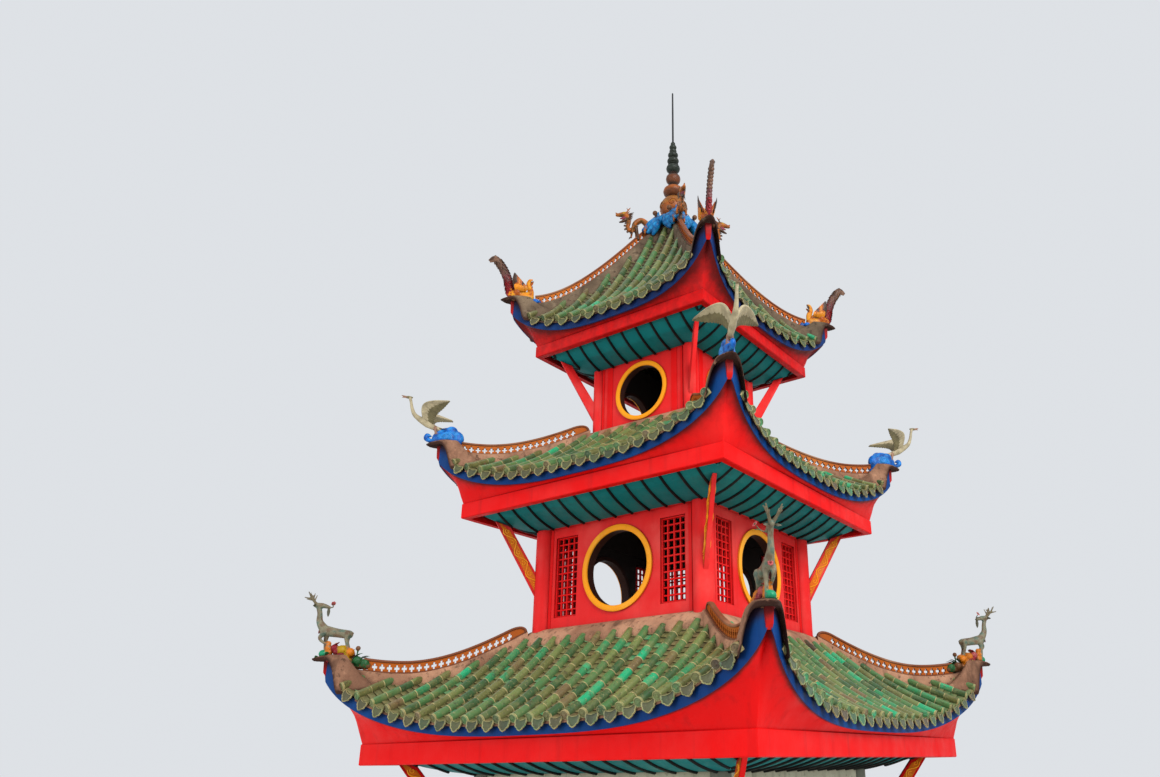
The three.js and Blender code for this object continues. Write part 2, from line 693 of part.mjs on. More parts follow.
function groundStorey() {
  const base = block([-PLINTH_HALF, -PLINTH_HALF, 0], [PLINTH_HALF, PLINTH_HALF, PLINTH_HEIGHT]);
  add('plinth', base, 'stone');
  add('ground_frame', geometryOf(frame(GROUND, ROOF_1, BRACE_1)), 'plaster');
  const face = -GROUND.wallFace;
  const half = GROUND.column - GROUND.columnRadius - GAP;
  const floor = GROUND.floor + GAP;
  const top = GROUND.wallTop - 2 * GAP;
  const door = DOOR_WIDTH / 2;
  const doorway = [[-door, floor], [-door, DOOR_TOP], [door, DOOR_TOP], [door, floor]];
  const front = [[-half, floor], ...doorway, [half, floor], [half, top], [-half, top]];
  const panel = plate(front, GROUND.wallThick).translate(0, face + GROUND.wallThick / 2, 0);
  add('front_wall', panel, 'plaster');
  const { centre, width, height } = GROUND_WINDOW;
  const hole = () => rectanglePath(-width / 2, centre - height / 2, width / 2, centre + height / 2);
  for (let side = 1; side < 4; side += 1) {
    add(`${SIDE_NAMES[side]}_wall`, wall(GROUND, [hole()]), 'plaster', side * QUARTER);
  }
  const low = [-BOARD.width / 2, face - GAP - BOARD.thick, BOARD.centre - BOARD.height / 2];
  const high = [BOARD.width / 2, face - GAP, BOARD.centre + BOARD.height / 2];
  add('name_board', block(low, high), 'yellow');
}

function upperStorey(name, storey, roof, size, round, holes, slabHalf) {
  add(`${name}_floor`, floorSlab(storey, slabHalf), 'cement');
  add(`${name}_frame`, geometryOf(frame(storey, roof, size)), 'red');
  SIDE_NAMES.forEach((side, i) => {
    add(`${name}_${side}_wall`, wall(storey, holes()), 'red', i * QUARTER);
    add(`${name}_${side}_window_ring`, windowRing(storey, round), 'yellow', i * QUARTER);
  });
}

function roofPieces(name, roof, storey) {
  add(`${name}_soffit`, soffit(roof), 'teal');
  add(`${name}_fascia`, geometryOf(fascia(roof)), 'red');
  add(`${name}_eave_board`, geometryOf(eaveBoard(roof)), 'blue');
  add(`${name}_tiles`, tileShell(roof), 'tile');
  add(`${name}_ridges`, geometryOf(ridges(roof, storey)), 'cement');
}

function figures(kind, body, material) {
  const geometry = geometryOf(body);
  CORNER_NAMES.forEach((corner, i) => add(`${kind}_${corner}`, geometry, material, CORNER_TURNS[i]));
}

groundStorey();
const latticeHoles = () => [-1, 1].map((side) => {
  const sides = [side * LATTICE.inner, side * LATTICE.outer].sort((a, b) => a - b);
  return rectanglePath(sides[0], LATTICE.bottom, sides[1], LATTICE.top);
});
upperStorey('storey_2', STOREY_2, ROOF_2, BRACE_2, ROUND_2, () => [roundHole(ROUND_2), ...latticeHoles()],
  GROUND.beamFace - SLAB_MARGIN);
upperStorey('storey_3', STOREY_3, ROOF_3, BRACE_3, ROUND_3, () => [roundHole(ROUND_3)],
  STOREY_2.beamFace - SLAB_MARGIN);
roofPieces('roof_1', ROOF_1, STOREY_2);
roofPieces('roof_2', ROOF_2, STOREY_3);
roofPieces('roof_3', ROOF_3, null);
figures('deer', seated(ROOF_1, modelled(DEER)), 'deer');
figures('crane', seated(ROOF_2, modelled(CRANE)), 'feather');
figures('phoenix', seated(ROOF_3, modelled(PHOENIX)), 'gold');
add('apex_dragons', apexDragons(ROOF_3), 'gold');
add('finial', finial(), 'dark');

pagoda.traverse((piece) => {
  if (piece.isMesh) piece.geometry = weld(piece.geometry);
});

export default pagoda;
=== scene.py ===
# %% [markdown]
# # A three-storey pagoda in Blender
# A small square tower in the Chinese manner: red walls, round windows, and three roofs of green glazed
# tile whose corners sweep up and carry glazed animals. The construction is already there as a frame of
# plain solids in metres, +Z up, with the tower's axis on the Z axis and its front on the -Y side. This
# script gives every surface its real shape and finish. It starts by loading the frame.

# %% Load the frame
import math
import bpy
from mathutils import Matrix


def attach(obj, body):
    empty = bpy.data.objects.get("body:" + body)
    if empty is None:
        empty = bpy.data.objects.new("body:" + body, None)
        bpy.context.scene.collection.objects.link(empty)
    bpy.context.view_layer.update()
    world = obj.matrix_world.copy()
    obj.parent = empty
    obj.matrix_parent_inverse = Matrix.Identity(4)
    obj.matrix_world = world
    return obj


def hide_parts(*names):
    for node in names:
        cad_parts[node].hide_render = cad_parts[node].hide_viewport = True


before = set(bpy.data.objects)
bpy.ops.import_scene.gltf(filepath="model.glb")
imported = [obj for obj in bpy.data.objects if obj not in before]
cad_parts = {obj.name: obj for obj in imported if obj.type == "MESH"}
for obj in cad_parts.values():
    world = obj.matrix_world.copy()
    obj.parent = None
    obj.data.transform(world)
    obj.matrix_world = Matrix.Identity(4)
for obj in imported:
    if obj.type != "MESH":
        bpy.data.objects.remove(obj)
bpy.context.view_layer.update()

from types import SimpleNamespace

import bmesh
import bpy
import numpy as np
from mathutils import Matrix, Vector, kdtree

# %% [markdown]
# ## The camera
# The tower is seen from the ground, from the front right, looking up. A camera is a point, three angles
# and a focal length, and all of them can be worked out from a photograph of a square building: the
# edges that run to the two vanishing points give the angles, and the known width gives the distance.
# The photograph's optical axis isn't in the middle of its frame, so the lens is shifted by that much,
# which keeps the uprights as they are where a turn of the camera would tilt them.

# %% Set the camera
IMAGE = (1160, 777)
FOCAL_PIXELS = 862
OPTICAL_AXIS = (693.9, 438.6)
EYE = (7.673, -11.147, 3.186)
YAW, PITCH, ROLL = (math.radians(angle) for angle in (33.21, 20.84, -0.91))
SENSOR = 36

ahead = Vector((-math.sin(YAW) * math.cos(PITCH), math.cos(YAW) * math.cos(PITCH), math.sin(PITCH)))
level = Vector((math.cos(YAW), math.sin(YAW), 0))
upward = level.cross(ahead)
right = level * math.cos(ROLL) + upward * math.sin(ROLL)
up = upward * math.cos(ROLL) - level * math.sin(ROLL)
camera = bpy.data.objects.new("camera", bpy.data.cameras.new("camera"))
camera.matrix_world = Matrix.Translation(EYE) @ Matrix((right, up, -ahead)).transposed().to_4x4()
camera.data.sensor_width = SENSOR
camera.data.lens = SENSOR * FOCAL_PIXELS / IMAGE[0]
camera.data.shift_x = (IMAGE[0] / 2 - OPTICAL_AXIS[0]) / IMAGE[0]
camera.data.shift_y = (OPTICAL_AXIS[1] - IMAGE[1] / 2) / IMAGE[0]
bpy.context.scene.collection.objects.link(camera)
bpy.context.scene.camera = camera
print("lens", round(camera.data.lens, 2), "mm, shift", round(camera.data.shift_x, 4))

# %% [markdown]
# ## Studio light and floor
# A bright hazy sky lights the real tower from all around, and a little more from the right. A pale
# world colour does the first, and one large soft lamp the second: the larger a lamp is, the softer its
# shadows are. The floor is a plain pale disc, which also throws light up under the eaves. The
# "Standard" view keeps the paint as strong as it is mixed.

# %% Light the studio
SKY = (0.86, 0.89, 0.93, 1)
SKY_STRENGTH = 0.85
LAMPS = {"key": ((17, -9, 17), 9, 3700), "fill": ((-6, -20, 9), 10, 900)}
TOWER_MIDDLE = Vector((0, 0, 7))
FLOOR_RADIUS = 60

world = bpy.data.worlds.new("studio")
world.use_nodes = True
world.node_tree.nodes["Background"].inputs["Color"].default_value = SKY
world.node_tree.nodes["Background"].inputs["Strength"].default_value = SKY_STRENGTH
bpy.context.scene.world = world
bpy.context.scene.view_settings.view_transform = "Standard"
for name, (place, size, power) in LAMPS.items():
    lamp = bpy.data.objects.new(name, bpy.data.lights.new(name, "AREA"))
    lamp.data.size = size
    lamp.data.energy = power
    lamp.location = place
    lamp.rotation_euler = (TOWER_MIDDLE - lamp.location).to_track_quat("-Z", "Y").to_euler()
    bpy.context.scene.collection.objects.link(lamp)

ground = bmesh.new()
bmesh.ops.create_circle(ground, cap_ends=True, segments=96, radius=FLOOR_RADIUS)
floor = bpy.data.objects.new("studio_floor", bpy.data.meshes.new("studio_floor"))
ground.to_mesh(floor.data)
ground.free()
floor.location.z = -0.002
bpy.context.scene.collection.objects.link(floor)
print("lamps:", ", ".join(LAMPS))

# %% [markdown]
# ## Mixing finishes
# A finish is a recipe of shader nodes. Written out in full, each node takes four lines, so a small
# class keeps the recipes short: `node` adds one and feeds it, and the other methods are the steps that
# nearly every painted surface needs, such as a noise, a mask cut from it, or a mix of two colours.
# Places come from object coordinates, which are metres here, so a scale of 10 means grains of 10 cm.

# %% The recipe class
OPEN_SHARE, CLOSED_SHARE = 0.95, 0.35


def colour(red, green, blue):
    """An 8-bit screen colour as the linear colour that shaders use."""
    parts = [value / 255 for value in (red, green, blue)]
    linear = [v / 12.92 if v <= 0.04045 else ((v + 0.055) / 1.055) ** 2.4 for v in parts]
    return (*linear, 1)


class Recipe:
    """A material under construction; sheen is how much light its surface throws back."""

    def __init__(self, name, sheen=0.5):
        self.material = bpy.data.materials.new(name)
        self.material.use_nodes = True
        self.shader = self.material.node_tree.nodes["Principled BSDF"]
        self.shader.inputs["Specular IOR Level"].default_value = sheen
        self.coordinates = self.node("TexCoord").outputs["Object"]

    def feed(self, socket, value):
        """Links a socket to another, or sets its value."""
        if isinstance(value, bpy.types.NodeSocket):
            self.material.node_tree.links.new(value, socket)
        else:
            socket.default_value = value

    def node(self, kind, inputs=None, **settings):
        made = self.material.node_tree.nodes.new("ShaderNode" + kind)
        for key, value in settings.items():
            setattr(made, key, value)
        for key, value in (inputs or {}).items():
            self.feed(made.inputs[key], value)
        return made

    def place(self, stretch=(1, 1, 1)):
        """The object coordinates, stretched along the axes."""
        return self.node("Mapping", {"Vector": self.coordinates, "Scale": stretch}).outputs[0]

    def noise(self, scale, detail=4, stretch=(1, 1, 1), rough=0.55):
        inputs = {"Vector": self.place(stretch), "Scale": scale, "Detail": detail, "Roughness": rough}
        return self.node("TexNoise", inputs).outputs["Fac"]

    def cells(self, scale):
        inputs = {"Vector": self.place(), "Scale": scale}
        return self.node("TexVoronoi", inputs).outputs["Distance"]

    def mask(self, value, low, high, most=1):
        """A value spread so that low gives 0 and high gives most."""
        inputs = {"Value": value, "From Min": low, "From Max": high, "To Max": most}
        return self.node("MapRange", inputs, interpolation_type="SMOOTHSTEP").outputs[0]

    def mix(self, share, first, second, how="MIX"):
        made = self.node("Mix", {"Factor": share}, data_type="RGBA", blend_type=how)
        self.feed(made.inputs[6], first)
        self.feed(made.inputs[7], second)
        return made.outputs[2]

    def maths(self, how, first, second=0.5):
        return self.node("Math", {0: first, 1: second}, operation=how).outputs[0]

    def plus(self, first, second):
        return self.maths("ADD", first, second)

    def times(self, first, second):
        return self.maths("MULTIPLY", first, second)

    def dirt_and_shade(self, reach):
        """Painted shade and soiling: 1 in corners and under edges, 0 in the open, from ambient occlusion."""
        open_share = self.node("AmbientOcclusion", {"Distance": reach}, samples=4).outputs["AO"]
        return self.mask(open_share, OPEN_SHARE, CLOSED_SHARE)

    def carried(self, name):
        """The colours that a mesh carries on its points under this name."""
        return self.node("Attribute", attribute_name=name).outputs["Color"]

    def mark(self, channel):
        """One of the three numbers that the meshes carry on their points as "marks"."""
        return self.node("SeparateColor", {0: self.carried("marks")}).outputs[channel]

    def distance(self):
        """How far a place is from the tower's axis, square to the walls."""
        apart = self.node("SeparateXYZ", {0: self.coordinates})
        across, along = (self.maths("ABSOLUTE", apart.outputs[k]) for k in (0, 1))
        return self.maths("MAXIMUM", across, along)

    def bump(self, *layers):
        """Relief from pairs of a height and its depth in metres, one over the other."""
        normal = None
        for height, depth in layers:
            inputs = {"Height": height, "Distance": depth, "Strength": 1.0}
            if normal is not None:
                inputs["Normal"] = normal
            normal = self.node("Bump", inputs).outputs[0]
        self.feed(self.shader.inputs["Normal"], normal)

    def done(self, base, roughness):
        self.feed(self.shader.inputs["Base Color"], base)
        self.feed(self.shader.inputs["Roughness"], roughness)
        print("finish:", self.material.name)
        return self.material


print("the screen's middle grey throws back", round(colour(128, 128, 128)[0], 3), "of the light")

# %% [markdown]
# ## Paint
# The walls, bands and boards are smooth render or timber under gloss paint that has stood outside for
# years: the colour bleaches in clouds, rain draws faint streaks down it, the corners darken with dirt and
# painted shade, and the brush leaves a fine grain. One function holds that story, and each paint only
# names its colours: fresh, bleached, and one for dirt and painted shade. A third mark on the points
# adds soot, stains and painted shadow. The walls of the upper storeys also turn dark on their inner
# faces, a painted shade of the unlit inside, which the shader tells by the distance from the tower's axis.

# %% Paint finishes
PAINT_SHEEN = 0.15
PAINT_ROUGHNESS = 0.42
SHADE_AND_DIRT_REACH = 0.12
# The first colour is soot and also painted shadow and shade; the second is the painted shade of the unlit
# inside.
SOOT_AND_SHADE, INDOOR_SHADE = colour(38, 16, 16), colour(46, 38, 34)
FADE_INDOORS = 0.004


def painted(name, *shades, inside=None):
    """Old gloss paint; inside is the distance from the axis where a wall turns to painted indoor shade."""
    fresh, bleached, dirty_and_shaded = (colour(*shade) for shade in shades)
    recipe = Recipe(name, PAINT_SHEEN)
    clouds = recipe.mask(recipe.noise(0.9, 6), 0.45, 0.72, 0.55)
    streaks = recipe.mask(recipe.noise(7, 5, (1, 1, 0.08)), 0.5, 0.75, 0.22)
    flecks = recipe.mask(recipe.noise(38, 3), 0.7, 0.76, 0.5)
    base = recipe.mix(clouds, fresh, bleached)
    base = recipe.mix(streaks, base, dirty_and_shaded)
    base = recipe.mix(flecks, base, bleached)
    # Corners and edges turn towards the dirty colour: painted shade from ambient occlusion, and dirt.
    base = recipe.mix(recipe.times(recipe.dirt_and_shade(SHADE_AND_DIRT_REACH), 0.7), base, dirty_and_shaded)
    # The third mark turns the paint towards soot: soot and stains, and painted shadow and shade on the
    # flares, rafter ends and hidden inner faces.
    ragged = recipe.plus(recipe.mark(2), recipe.mask(recipe.noise(9, 5), 0.3, 0.7, 0.18))
    base = recipe.mix(recipe.mask(ragged, 0.3, 1.25, 0.85), base, SOOT_AND_SHADE)
    # Inner faces turn to a painted shade of the unlit inside.
    if inside:
        base = recipe.mix(recipe.mask(recipe.distance(), inside, inside - FADE_INDOORS), base, INDOOR_SHADE)
    grain = recipe.noise(55, 3, (1, 1, 0.3))
    recipe.bump((recipe.noise(1.6, 2), 0.02), (grain, 0.0025))
    rough = recipe.mask(recipe.noise(3, 5), 0.3, 0.7, 0.25)
    return recipe.done(base, recipe.plus(rough, PAINT_ROUGHNESS))


RED_WALL = (228, 34, 34), (238, 92, 84), (130, 16, 18)
PAINTS = {
    "red": painted("vermilion_paint", (226, 2, 3), (232, 40, 36), (116, 6, 10)),
    "red_wall_2": painted("vermilion_wall_2", *RED_WALL, inside=1.44),
    "red_wall_3": painted("vermilion_wall_3", *RED_WALL, inside=0.9),
    "blue": painted("ultramarine_paint", (0, 54, 116), (4, 76, 140), (6, 16, 38)),
    "teal": painted("teal_paint", (10, 120, 122), (40, 138, 134), (12, 52, 56)),
    # The window linings are painted dark, as painted shade inside the holes.
    "dark": painted("window_lining_paint", (62, 32, 24), (88, 50, 38), (30, 20, 16)),
    "black": painted("black_paint", (20, 22, 22), (52, 54, 52), (10, 10, 10)),
    "yellow": painted("window_ring_paint", (252, 160, 24), (255, 186, 70), (176, 84, 12)),
    "orange": painted("ridge_band_paint", (176, 86, 16), (200, 116, 38), (80, 36, 16)),
    "panel": painted("brace_panel_paint", (222, 108, 12), (236, 140, 44), (120, 46, 14)),
    "brown": painted("ridge_cap_paint", (124, 70, 44), (186, 144, 110), (54, 30, 22)),
    "grey": painted("grey_paint", (122, 124, 110), (150, 150, 136), (70, 70, 62)),
}

# %% [markdown]
# ## Cement, plaster and stone
# The ridges are bedded in cement that has weathered to a pinkish brown with dark lichen, the ground
# storey is plastered, and the plinth is cut stone. All are rough and matt, with pits and stains, and
# they differ in colour and in the size of the grain.

# %% Mineral finishes
WEATHERED = colour(58, 36, 28)
MATT = 0.88


def mineral(name, *shades, grain=24, depth=0.006):
    """Weathered cement, plaster, stone or bare timber, from a light, a middle and a dark colour."""
    light, middle, dark = (colour(*shade) for shade in shades)
    recipe = Recipe(name, PAINT_SHEEN)
    patches = recipe.mask(recipe.noise(2.2, 8), 0.35, 0.65)
    lichen = recipe.mask(recipe.noise(11, 6, rough=0.7), 0.55, 0.66, 0.75)
    drips = recipe.mask(recipe.noise(6, 4, (1, 1, 0.1)), 0.52, 0.7, 0.5)
    base = recipe.mix(patches, middle, light)
    base = recipe.mix(lichen, base, dark)
    base = recipe.mix(drips, base, dark)
    # Hollows turn towards the dark colour: painted shade from ambient occlusion, and dirt.
    base = recipe.mix(recipe.times(recipe.dirt_and_shade(0.1), 0.6), base, dark)
    # The third mark turns the cement weathered brown: stains and dirt, and on the upper roofs painted shade
    # as well.
    ragged = recipe.times(recipe.mark(2), recipe.mask(recipe.noise(8, 6), 0.2, 0.48))
    base = recipe.mix(recipe.times(ragged, 0.8), base, WEATHERED)
    pits = recipe.cells(grain * 2)
    recipe.bump((recipe.noise(grain, 6, rough=0.65), depth), (pits, depth / 2))
    return recipe.done(base, MATT)


PAINTS |= {
    "cement": mineral("ridge_cement", (190, 142, 112), (150, 108, 84), (66, 50, 38)),
    "old_cement": mineral("old_ridge_cement", (146, 126, 102), (106, 92, 74), (48, 42, 34)),
    "plaster": mineral(
        "wall_plaster", (206, 204, 180), (186, 184, 160), (120, 118, 98), grain=40, depth=0.003
    ),
    "stone": mineral("plinth_stone", (158, 154, 142), (134, 130, 120), (78, 76, 68)),
    "timber": mineral("dark_timber", (74, 56, 44), (52, 40, 32), (26, 20, 16), grain=30, depth=0.004),
}

# %% [markdown]
# ## Glazed roof tile
# Each tile is dipped and fired on its own, so its green differs from its neighbour's, from bright jade
# to olive, and where the glaze has gone the clay and dirt show. The meshes carry three marks on their
# points: a number drawn for each tile, which a colour ramp turns into its shade, then how thick the pale
# mortar is smeared there, and how much dirt and painted shade lie on the place. The hollows are darkened
# too, with painted shade and dirt.

# %% Tile finish
TILE_SHEEN = 0.42
TILE_SHADES = [
    (0.0, (38, 168, 114)), (0.04, (54, 138, 88)), (0.13, (76, 120, 70)), (0.35, (84, 120, 72)),
    (0.5, (60, 92, 56)), (0.65, (112, 126, 72)), (0.8, (102, 106, 60)), (0.93, (116, 98, 66)),
    (1.0, (70, 56, 40)),
]
MORTAR = colour(190, 172, 118)
TILE_DIRT_AND_SHADE = colour(54, 44, 30)
TILE_DUST = colour(126, 126, 78)


def glazed_tile():
    recipe = Recipe("green_tile_glaze", TILE_SHEEN)
    ramp = recipe.node("ValToRGB")
    ramp.color_ramp.interpolation = "CONSTANT"
    for slot, (place, shade) in enumerate(TILE_SHADES):
        if slot > 1:
            ramp.color_ramp.elements.new(place)
        ramp.color_ramp.elements[slot].position = place
        ramp.color_ramp.elements[slot].color = colour(*shade)
    wander = recipe.times(recipe.maths("SUBTRACT", recipe.noise(1.1, 1), 0.5), 0.12)
    recipe.feed(ramp.inputs[0], recipe.plus(recipe.mark(0), wander))
    worn = recipe.mask(recipe.noise(16, 6, rough=0.7), 0.54, 0.66, 0.6)
    dusty = recipe.mask(recipe.noise(5, 5), 0.42, 0.7, 0.5)
    base = recipe.mix(dusty, ramp.outputs[0], TILE_DUST)
    base = recipe.mix(worn, base, TILE_DIRT_AND_SHADE)
    chips = recipe.mask(recipe.noise(30, 4, rough=0.7), 0.59, 0.67, 0.45)
    base = recipe.mix(chips, base, MORTAR)
    # Hollows turn towards the dark colour: painted shade from ambient occlusion, and dirt.
    base = recipe.mix(recipe.times(recipe.dirt_and_shade(0.07), 0.85), base, TILE_DIRT_AND_SHADE)
    smear = recipe.times(recipe.mark(1), recipe.mask(recipe.noise(14, 4), 0.34, 0.56, 0.8))
    base = recipe.mix(smear, base, MORTAR)
    # The third mark darkens the tile: dirt, and painted shade in the gutters and on the upper roofs.
    base = recipe.mix(recipe.times(recipe.mark(2), 0.6), base, TILE_DIRT_AND_SHADE)
    recipe.bump((recipe.noise(9, 4), 0.008), (recipe.noise(60, 4), 0.002))
    return recipe.done(base, recipe.plus(recipe.times(recipe.maths("MAXIMUM", worn, smear), 0.4), 0.3))


PAINTS["tile"] = glazed_tile()

# %% [markdown]
# ## Glazed figures
# The animals, clouds and flowers are moulded in cement, then painted and glazed in many colours. Each
# figure's mesh carries its colours on its points under the name "paint", so a single finish serves all
# of them: it darkens the hollows with painted shade and dirt, and dulls the colour and the gloss with dust.

# %% Figure finish
FIGURE_SHEEN = 0.25
FIGURE_SHADE, FIGURE_DUST, FIGURE_DIRT_AND_SHADE = colour(70, 56, 40), colour(128, 116, 92), colour(34, 26, 20)


def figure_glaze():
    recipe = Recipe("figure_glaze", FIGURE_SHEEN)
    paint = recipe.carried("paint")
    shade = recipe.mask(recipe.noise(9, 5), 0.3, 0.7)
    base = recipe.mix(shade, recipe.mix(0.4, paint, FIGURE_SHADE, "MULTIPLY"), paint)
    dust = recipe.mask(recipe.noise(26, 6, rough=0.7), 0.58, 0.7, 0.3)
    base = recipe.mix(dust, base, FIGURE_DUST)
    # Hollows turn darker: painted shade from ambient occlusion, and dirt.
    base = recipe.mix(recipe.times(recipe.dirt_and_shade(0.05), 0.6), base, FIGURE_DIRT_AND_SHADE)
    recipe.bump((recipe.noise(30, 5), 0.006), (recipe.cells(70), 0.002))
    return recipe.done(base, recipe.plus(recipe.times(dust, 0.5), 0.36))


PAINTS["figure"] = figure_glaze()

# %% [markdown]
# ## The floor's finish
# The floor stays plain and pale, so it takes one even colour and a fine grain.

# %% Floor finish
def studio_floor():
    recipe = Recipe("studio_floor")
    base = recipe.mix(recipe.noise(3, 4), colour(222, 220, 216), colour(228, 227, 224))
    return recipe.done(base, 0.9)


floor.data.materials.append(studio_floor())

# %% [markdown]
# ## Making meshes
# Nearly everything on the tower is an outline carried along a line: a tile along the slope, a rib along
# the eaves' cove, a limb along a bone. So one function skins a list of rings of points with faces, and
# a `Stock` gathers the points of many small parts and makes one piece of them. Its marks go with the
# points into the shader. The piece then rides on the tower's only body, "root". The roofs and walls are
# the same on all four sides, so most stocks hold one side or one corner, repeated round the axis.

# %% Skins and stocks
SHARP_ANGLE = math.radians(38)
QUARTER = math.pi / 2


def skin(rings, loop=False, ends=True):
    """Faces over rings of points; loop joins the last ring to the first, ends closes the two ends."""
    rings = np.asarray(rings, float)
    count, size = rings.shape[:2]
    faces = []
    for i in range(count if loop else count - 1):
        a = i * size
        b = (i + 1) % count * size
        for j in range(size):
            k = (j + 1) % size
            faces.append((a + j, a + k, b + k, b + j))
    if ends and not loop:
        faces.append(tuple(range(size))[::-1])
        faces.append(tuple(range((count - 1) * size, count * size)))
    return rings.reshape(-1, 3), faces


def spokes(count):
    """Angles that share out a full turn."""
    return [i * math.tau / count for i in range(count)]


def turned(points, angle):
    """Points turned about the tower's axis."""
    points = np.asarray(points, float)
    x, y = points[..., 0], points[..., 1]
    cos, sin = math.cos(angle), math.sin(angle)
    return np.stack([x * cos - y * sin, x * sin + y * cos, points[..., 2]], -1)


def mesh_of(points, faces):
    """A mesh whose faces all look outward."""
    mesh = bpy.data.meshes.new("mesh")
    mesh.from_pydata(points, [], faces)
    shaped = bmesh.new()
    shaped.from_mesh(mesh)
    bmesh.ops.recalc_face_normals(shaped, faces=shaped.faces)
    shaped.to_mesh(mesh)
    shaped.free()
    return mesh


def put_colours(mesh, name, colours):
    """Writes a colour on each point of a mesh, under a name that a finish can ask for."""
    layer = mesh.attributes.new(name, "FLOAT_COLOR", "POINT")
    layer.data.foreach_set("color", np.array(colours, float).ravel())


class Stock:
    """Points and faces of many parts, gathered for one piece; it may start with its first part."""

    def __init__(self, *part):
        self.points, self.faces, self.marks, self.count = [], [], [], 0
        if part:
            self.add(*part)

    def add(self, shape, marks=(0, 0, 0)):
        points, faces = shape
        self.points.append(points)
        self.faces.extend(tuple(i + self.count for i in face) for face in faces)
        self.marks.append(np.broadcast_to(np.asarray(marks, float), points.shape))
        self.count += len(points)

    def around(self, angles):
        """The stock repeated at these angles; each copy's tiles draw other numbers."""
        copies = Stock()
        for i, angle in enumerate(angles):
            points, marks = np.concatenate(self.points), np.concatenate(self.marks).copy()
            marks[:, 0] = (marks[:, 0] + 0.37 * i) % 1
            copies.add((turned(points, angle), self.faces), marks)
        return copies

    def piece(self, name, finish, slot, *nodes):
        """Makes the piece, which may stand for nodes of the frame."""
        mesh = mesh_of(np.concatenate(self.points), self.faces)
        mesh.name = name
        marks = np.concatenate(self.marks)
        put_colours(mesh, "marks", np.column_stack([marks, np.ones(len(marks))]))
        mesh.shade_smooth()
        mesh.set_sharp_from_angle(angle=SHARP_ANGLE)
        mesh.materials.append(PAINTS[finish])
        made = bpy.data.objects.new(name, mesh)
        bpy.context.scene.collection.objects.link(made)
        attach(made, "root")
        if nodes:
            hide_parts(*nodes)
        triangles = sum(len(face.vertices) - 2 for face in mesh.polygons)
        print(f"{name}: {triangles} triangles")
        return made


SIDES = [i * QUARTER for i in range(4)]
CORNERS = [(i - 0.5) * QUARTER for i in range(4)]
CORNER_NAMES = ["front_right", "rear_right", "rear_left", "front_left"]
SIDE_NAMES = ["front", "right", "rear", "left"]
print("sides:", ", ".join(SIDE_NAMES), "and corners:", ", ".join(CORNER_NAMES))

# %% [markdown]
# ## The roof's curves
# A roof like this has no flat part: it sags between ridge and eaves, and it lifts towards the corners.
# Four curves hold the whole form. The hip line gives the height along the corner, the middle line the
# height half-way along a side, and between them the height grows with the cube of the place along the
# side. The last curve swings the eaves out to the tips. Everything on a roof asks these for its place,
# so tiles, boards and ridges always meet. `t` is a place along a side, -1 and 1 at the corners, and
# `far` a distance from the axis.
#
# `ROOFS` holds each roof's measures: how far out its red band, its tips and its upper edge are, the
# heights of the band, the number of tile rows and ribs, the lowest point of the hip line with its rise
# to both ends, and the sizes of leaf, horn and hood at the tips. The last two say how much the whole
# roof darkens, with dirt and with painted shade, more on the upper roofs, and how close the soot and
# painted shadow on the flare keep to the eave boards: the higher that number, the closer.

# %% Roof curves
EAVE_OUT = 0.13
EAVE_RISE = 0.215
TIP_NOSE = 0.04
LIFT_POWER = 3
BOARD_IN = 0.05
CHAMFER = 0.08

ROOFS = [
    SimpleNamespace(
        name="roof_1", fascia=3.148, band_low=3.266, band_high=3.547, tip=3.698, upper=1.6,
        hip=(2.83, 4.415, 1.05, 0.6), sag=0.35, leaf=0.23, soffit_start=(2.04, 3.131), rows=26, ribs=20,
        band=(1.63, 3.21), storey="storey_2", wall=1.5, flashing=0.105, hood=0.36, horn=0.25,
        bedding="cement", grime_and_shade=0.0, soot_and_shade=7,
    ),
    SimpleNamespace(
        name="roof_2", fascia=2.382, band_low=6.813, band_high=7.053, tip=2.815, upper=1.008,
        hip=(2.2, 7.795, 0.93, 0.7), sag=0.35, leaf=0.21, soffit_start=(1.55, 6.64), rows=21, ribs=15,
        band=(1.04, 2.44), storey="storey_3", wall=0.95, flashing=0.06, hood=0.38, horn=0.2,
        bedding="cement", grime_and_shade=0.22, soot_and_shade=3,
    ),
    SimpleNamespace(
        name="roof_3", fascia=1.68, band_low=9.651, band_high=9.853, tip=2.125, upper=0.15,
        hip=(1.85, 10.555, 2.05, 1.9), sag=0.5, leaf=0.19, soffit_start=(0.97, 9.452), rows=15, ribs=11,
        band=(0.3, 1.72), storey=None, wall=0.15, flashing=0, hood=0.32, horn=0.18,
        bedding="old_cement", grime_and_shade=0.6, soot_and_shade=1.4,
    ),
]


def hip_height(roof, far):
    at, height, to_wall, to_tip = roof.hip
    run = np.asarray(far, float) - at
    return height + np.where(run < 0, to_wall, to_tip) * (np.hypot(run, 1) - 1)


def middle_height(roof, far):
    top = hip_height(roof, roof.upper)
    run = (far - roof.upper) / (roof.fascia + EAVE_OUT - roof.upper)
    return top - (top - roof.band_high - EAVE_RISE) * (run + roof.sag * run * (1 - run))


def tile_height(roof, t, far):
    middle = middle_height(roof, far)
    return middle + (hip_height(roof, far) - middle) * np.abs(t) ** LIFT_POWER


def tile_edge(roof, t):
    start = roof.fascia + EAVE_OUT
    return start + (roof.tip - TIP_NOSE - start) * np.abs(t) ** LIFT_POWER


def corner_gap(roof, t):
    """How far a place at the eaves lies from the corner."""
    return (1 - abs(t)) * (roof.tip - TIP_NOSE - BOARD_IN)


def board_face(roof, t):
    """The distance of the eave boards' face, with the corner cut off square to the diagonal."""
    return tile_edge(roof, t) - BOARD_IN - max(0.0, CHAMFER - corner_gap(roof, t)) / 2


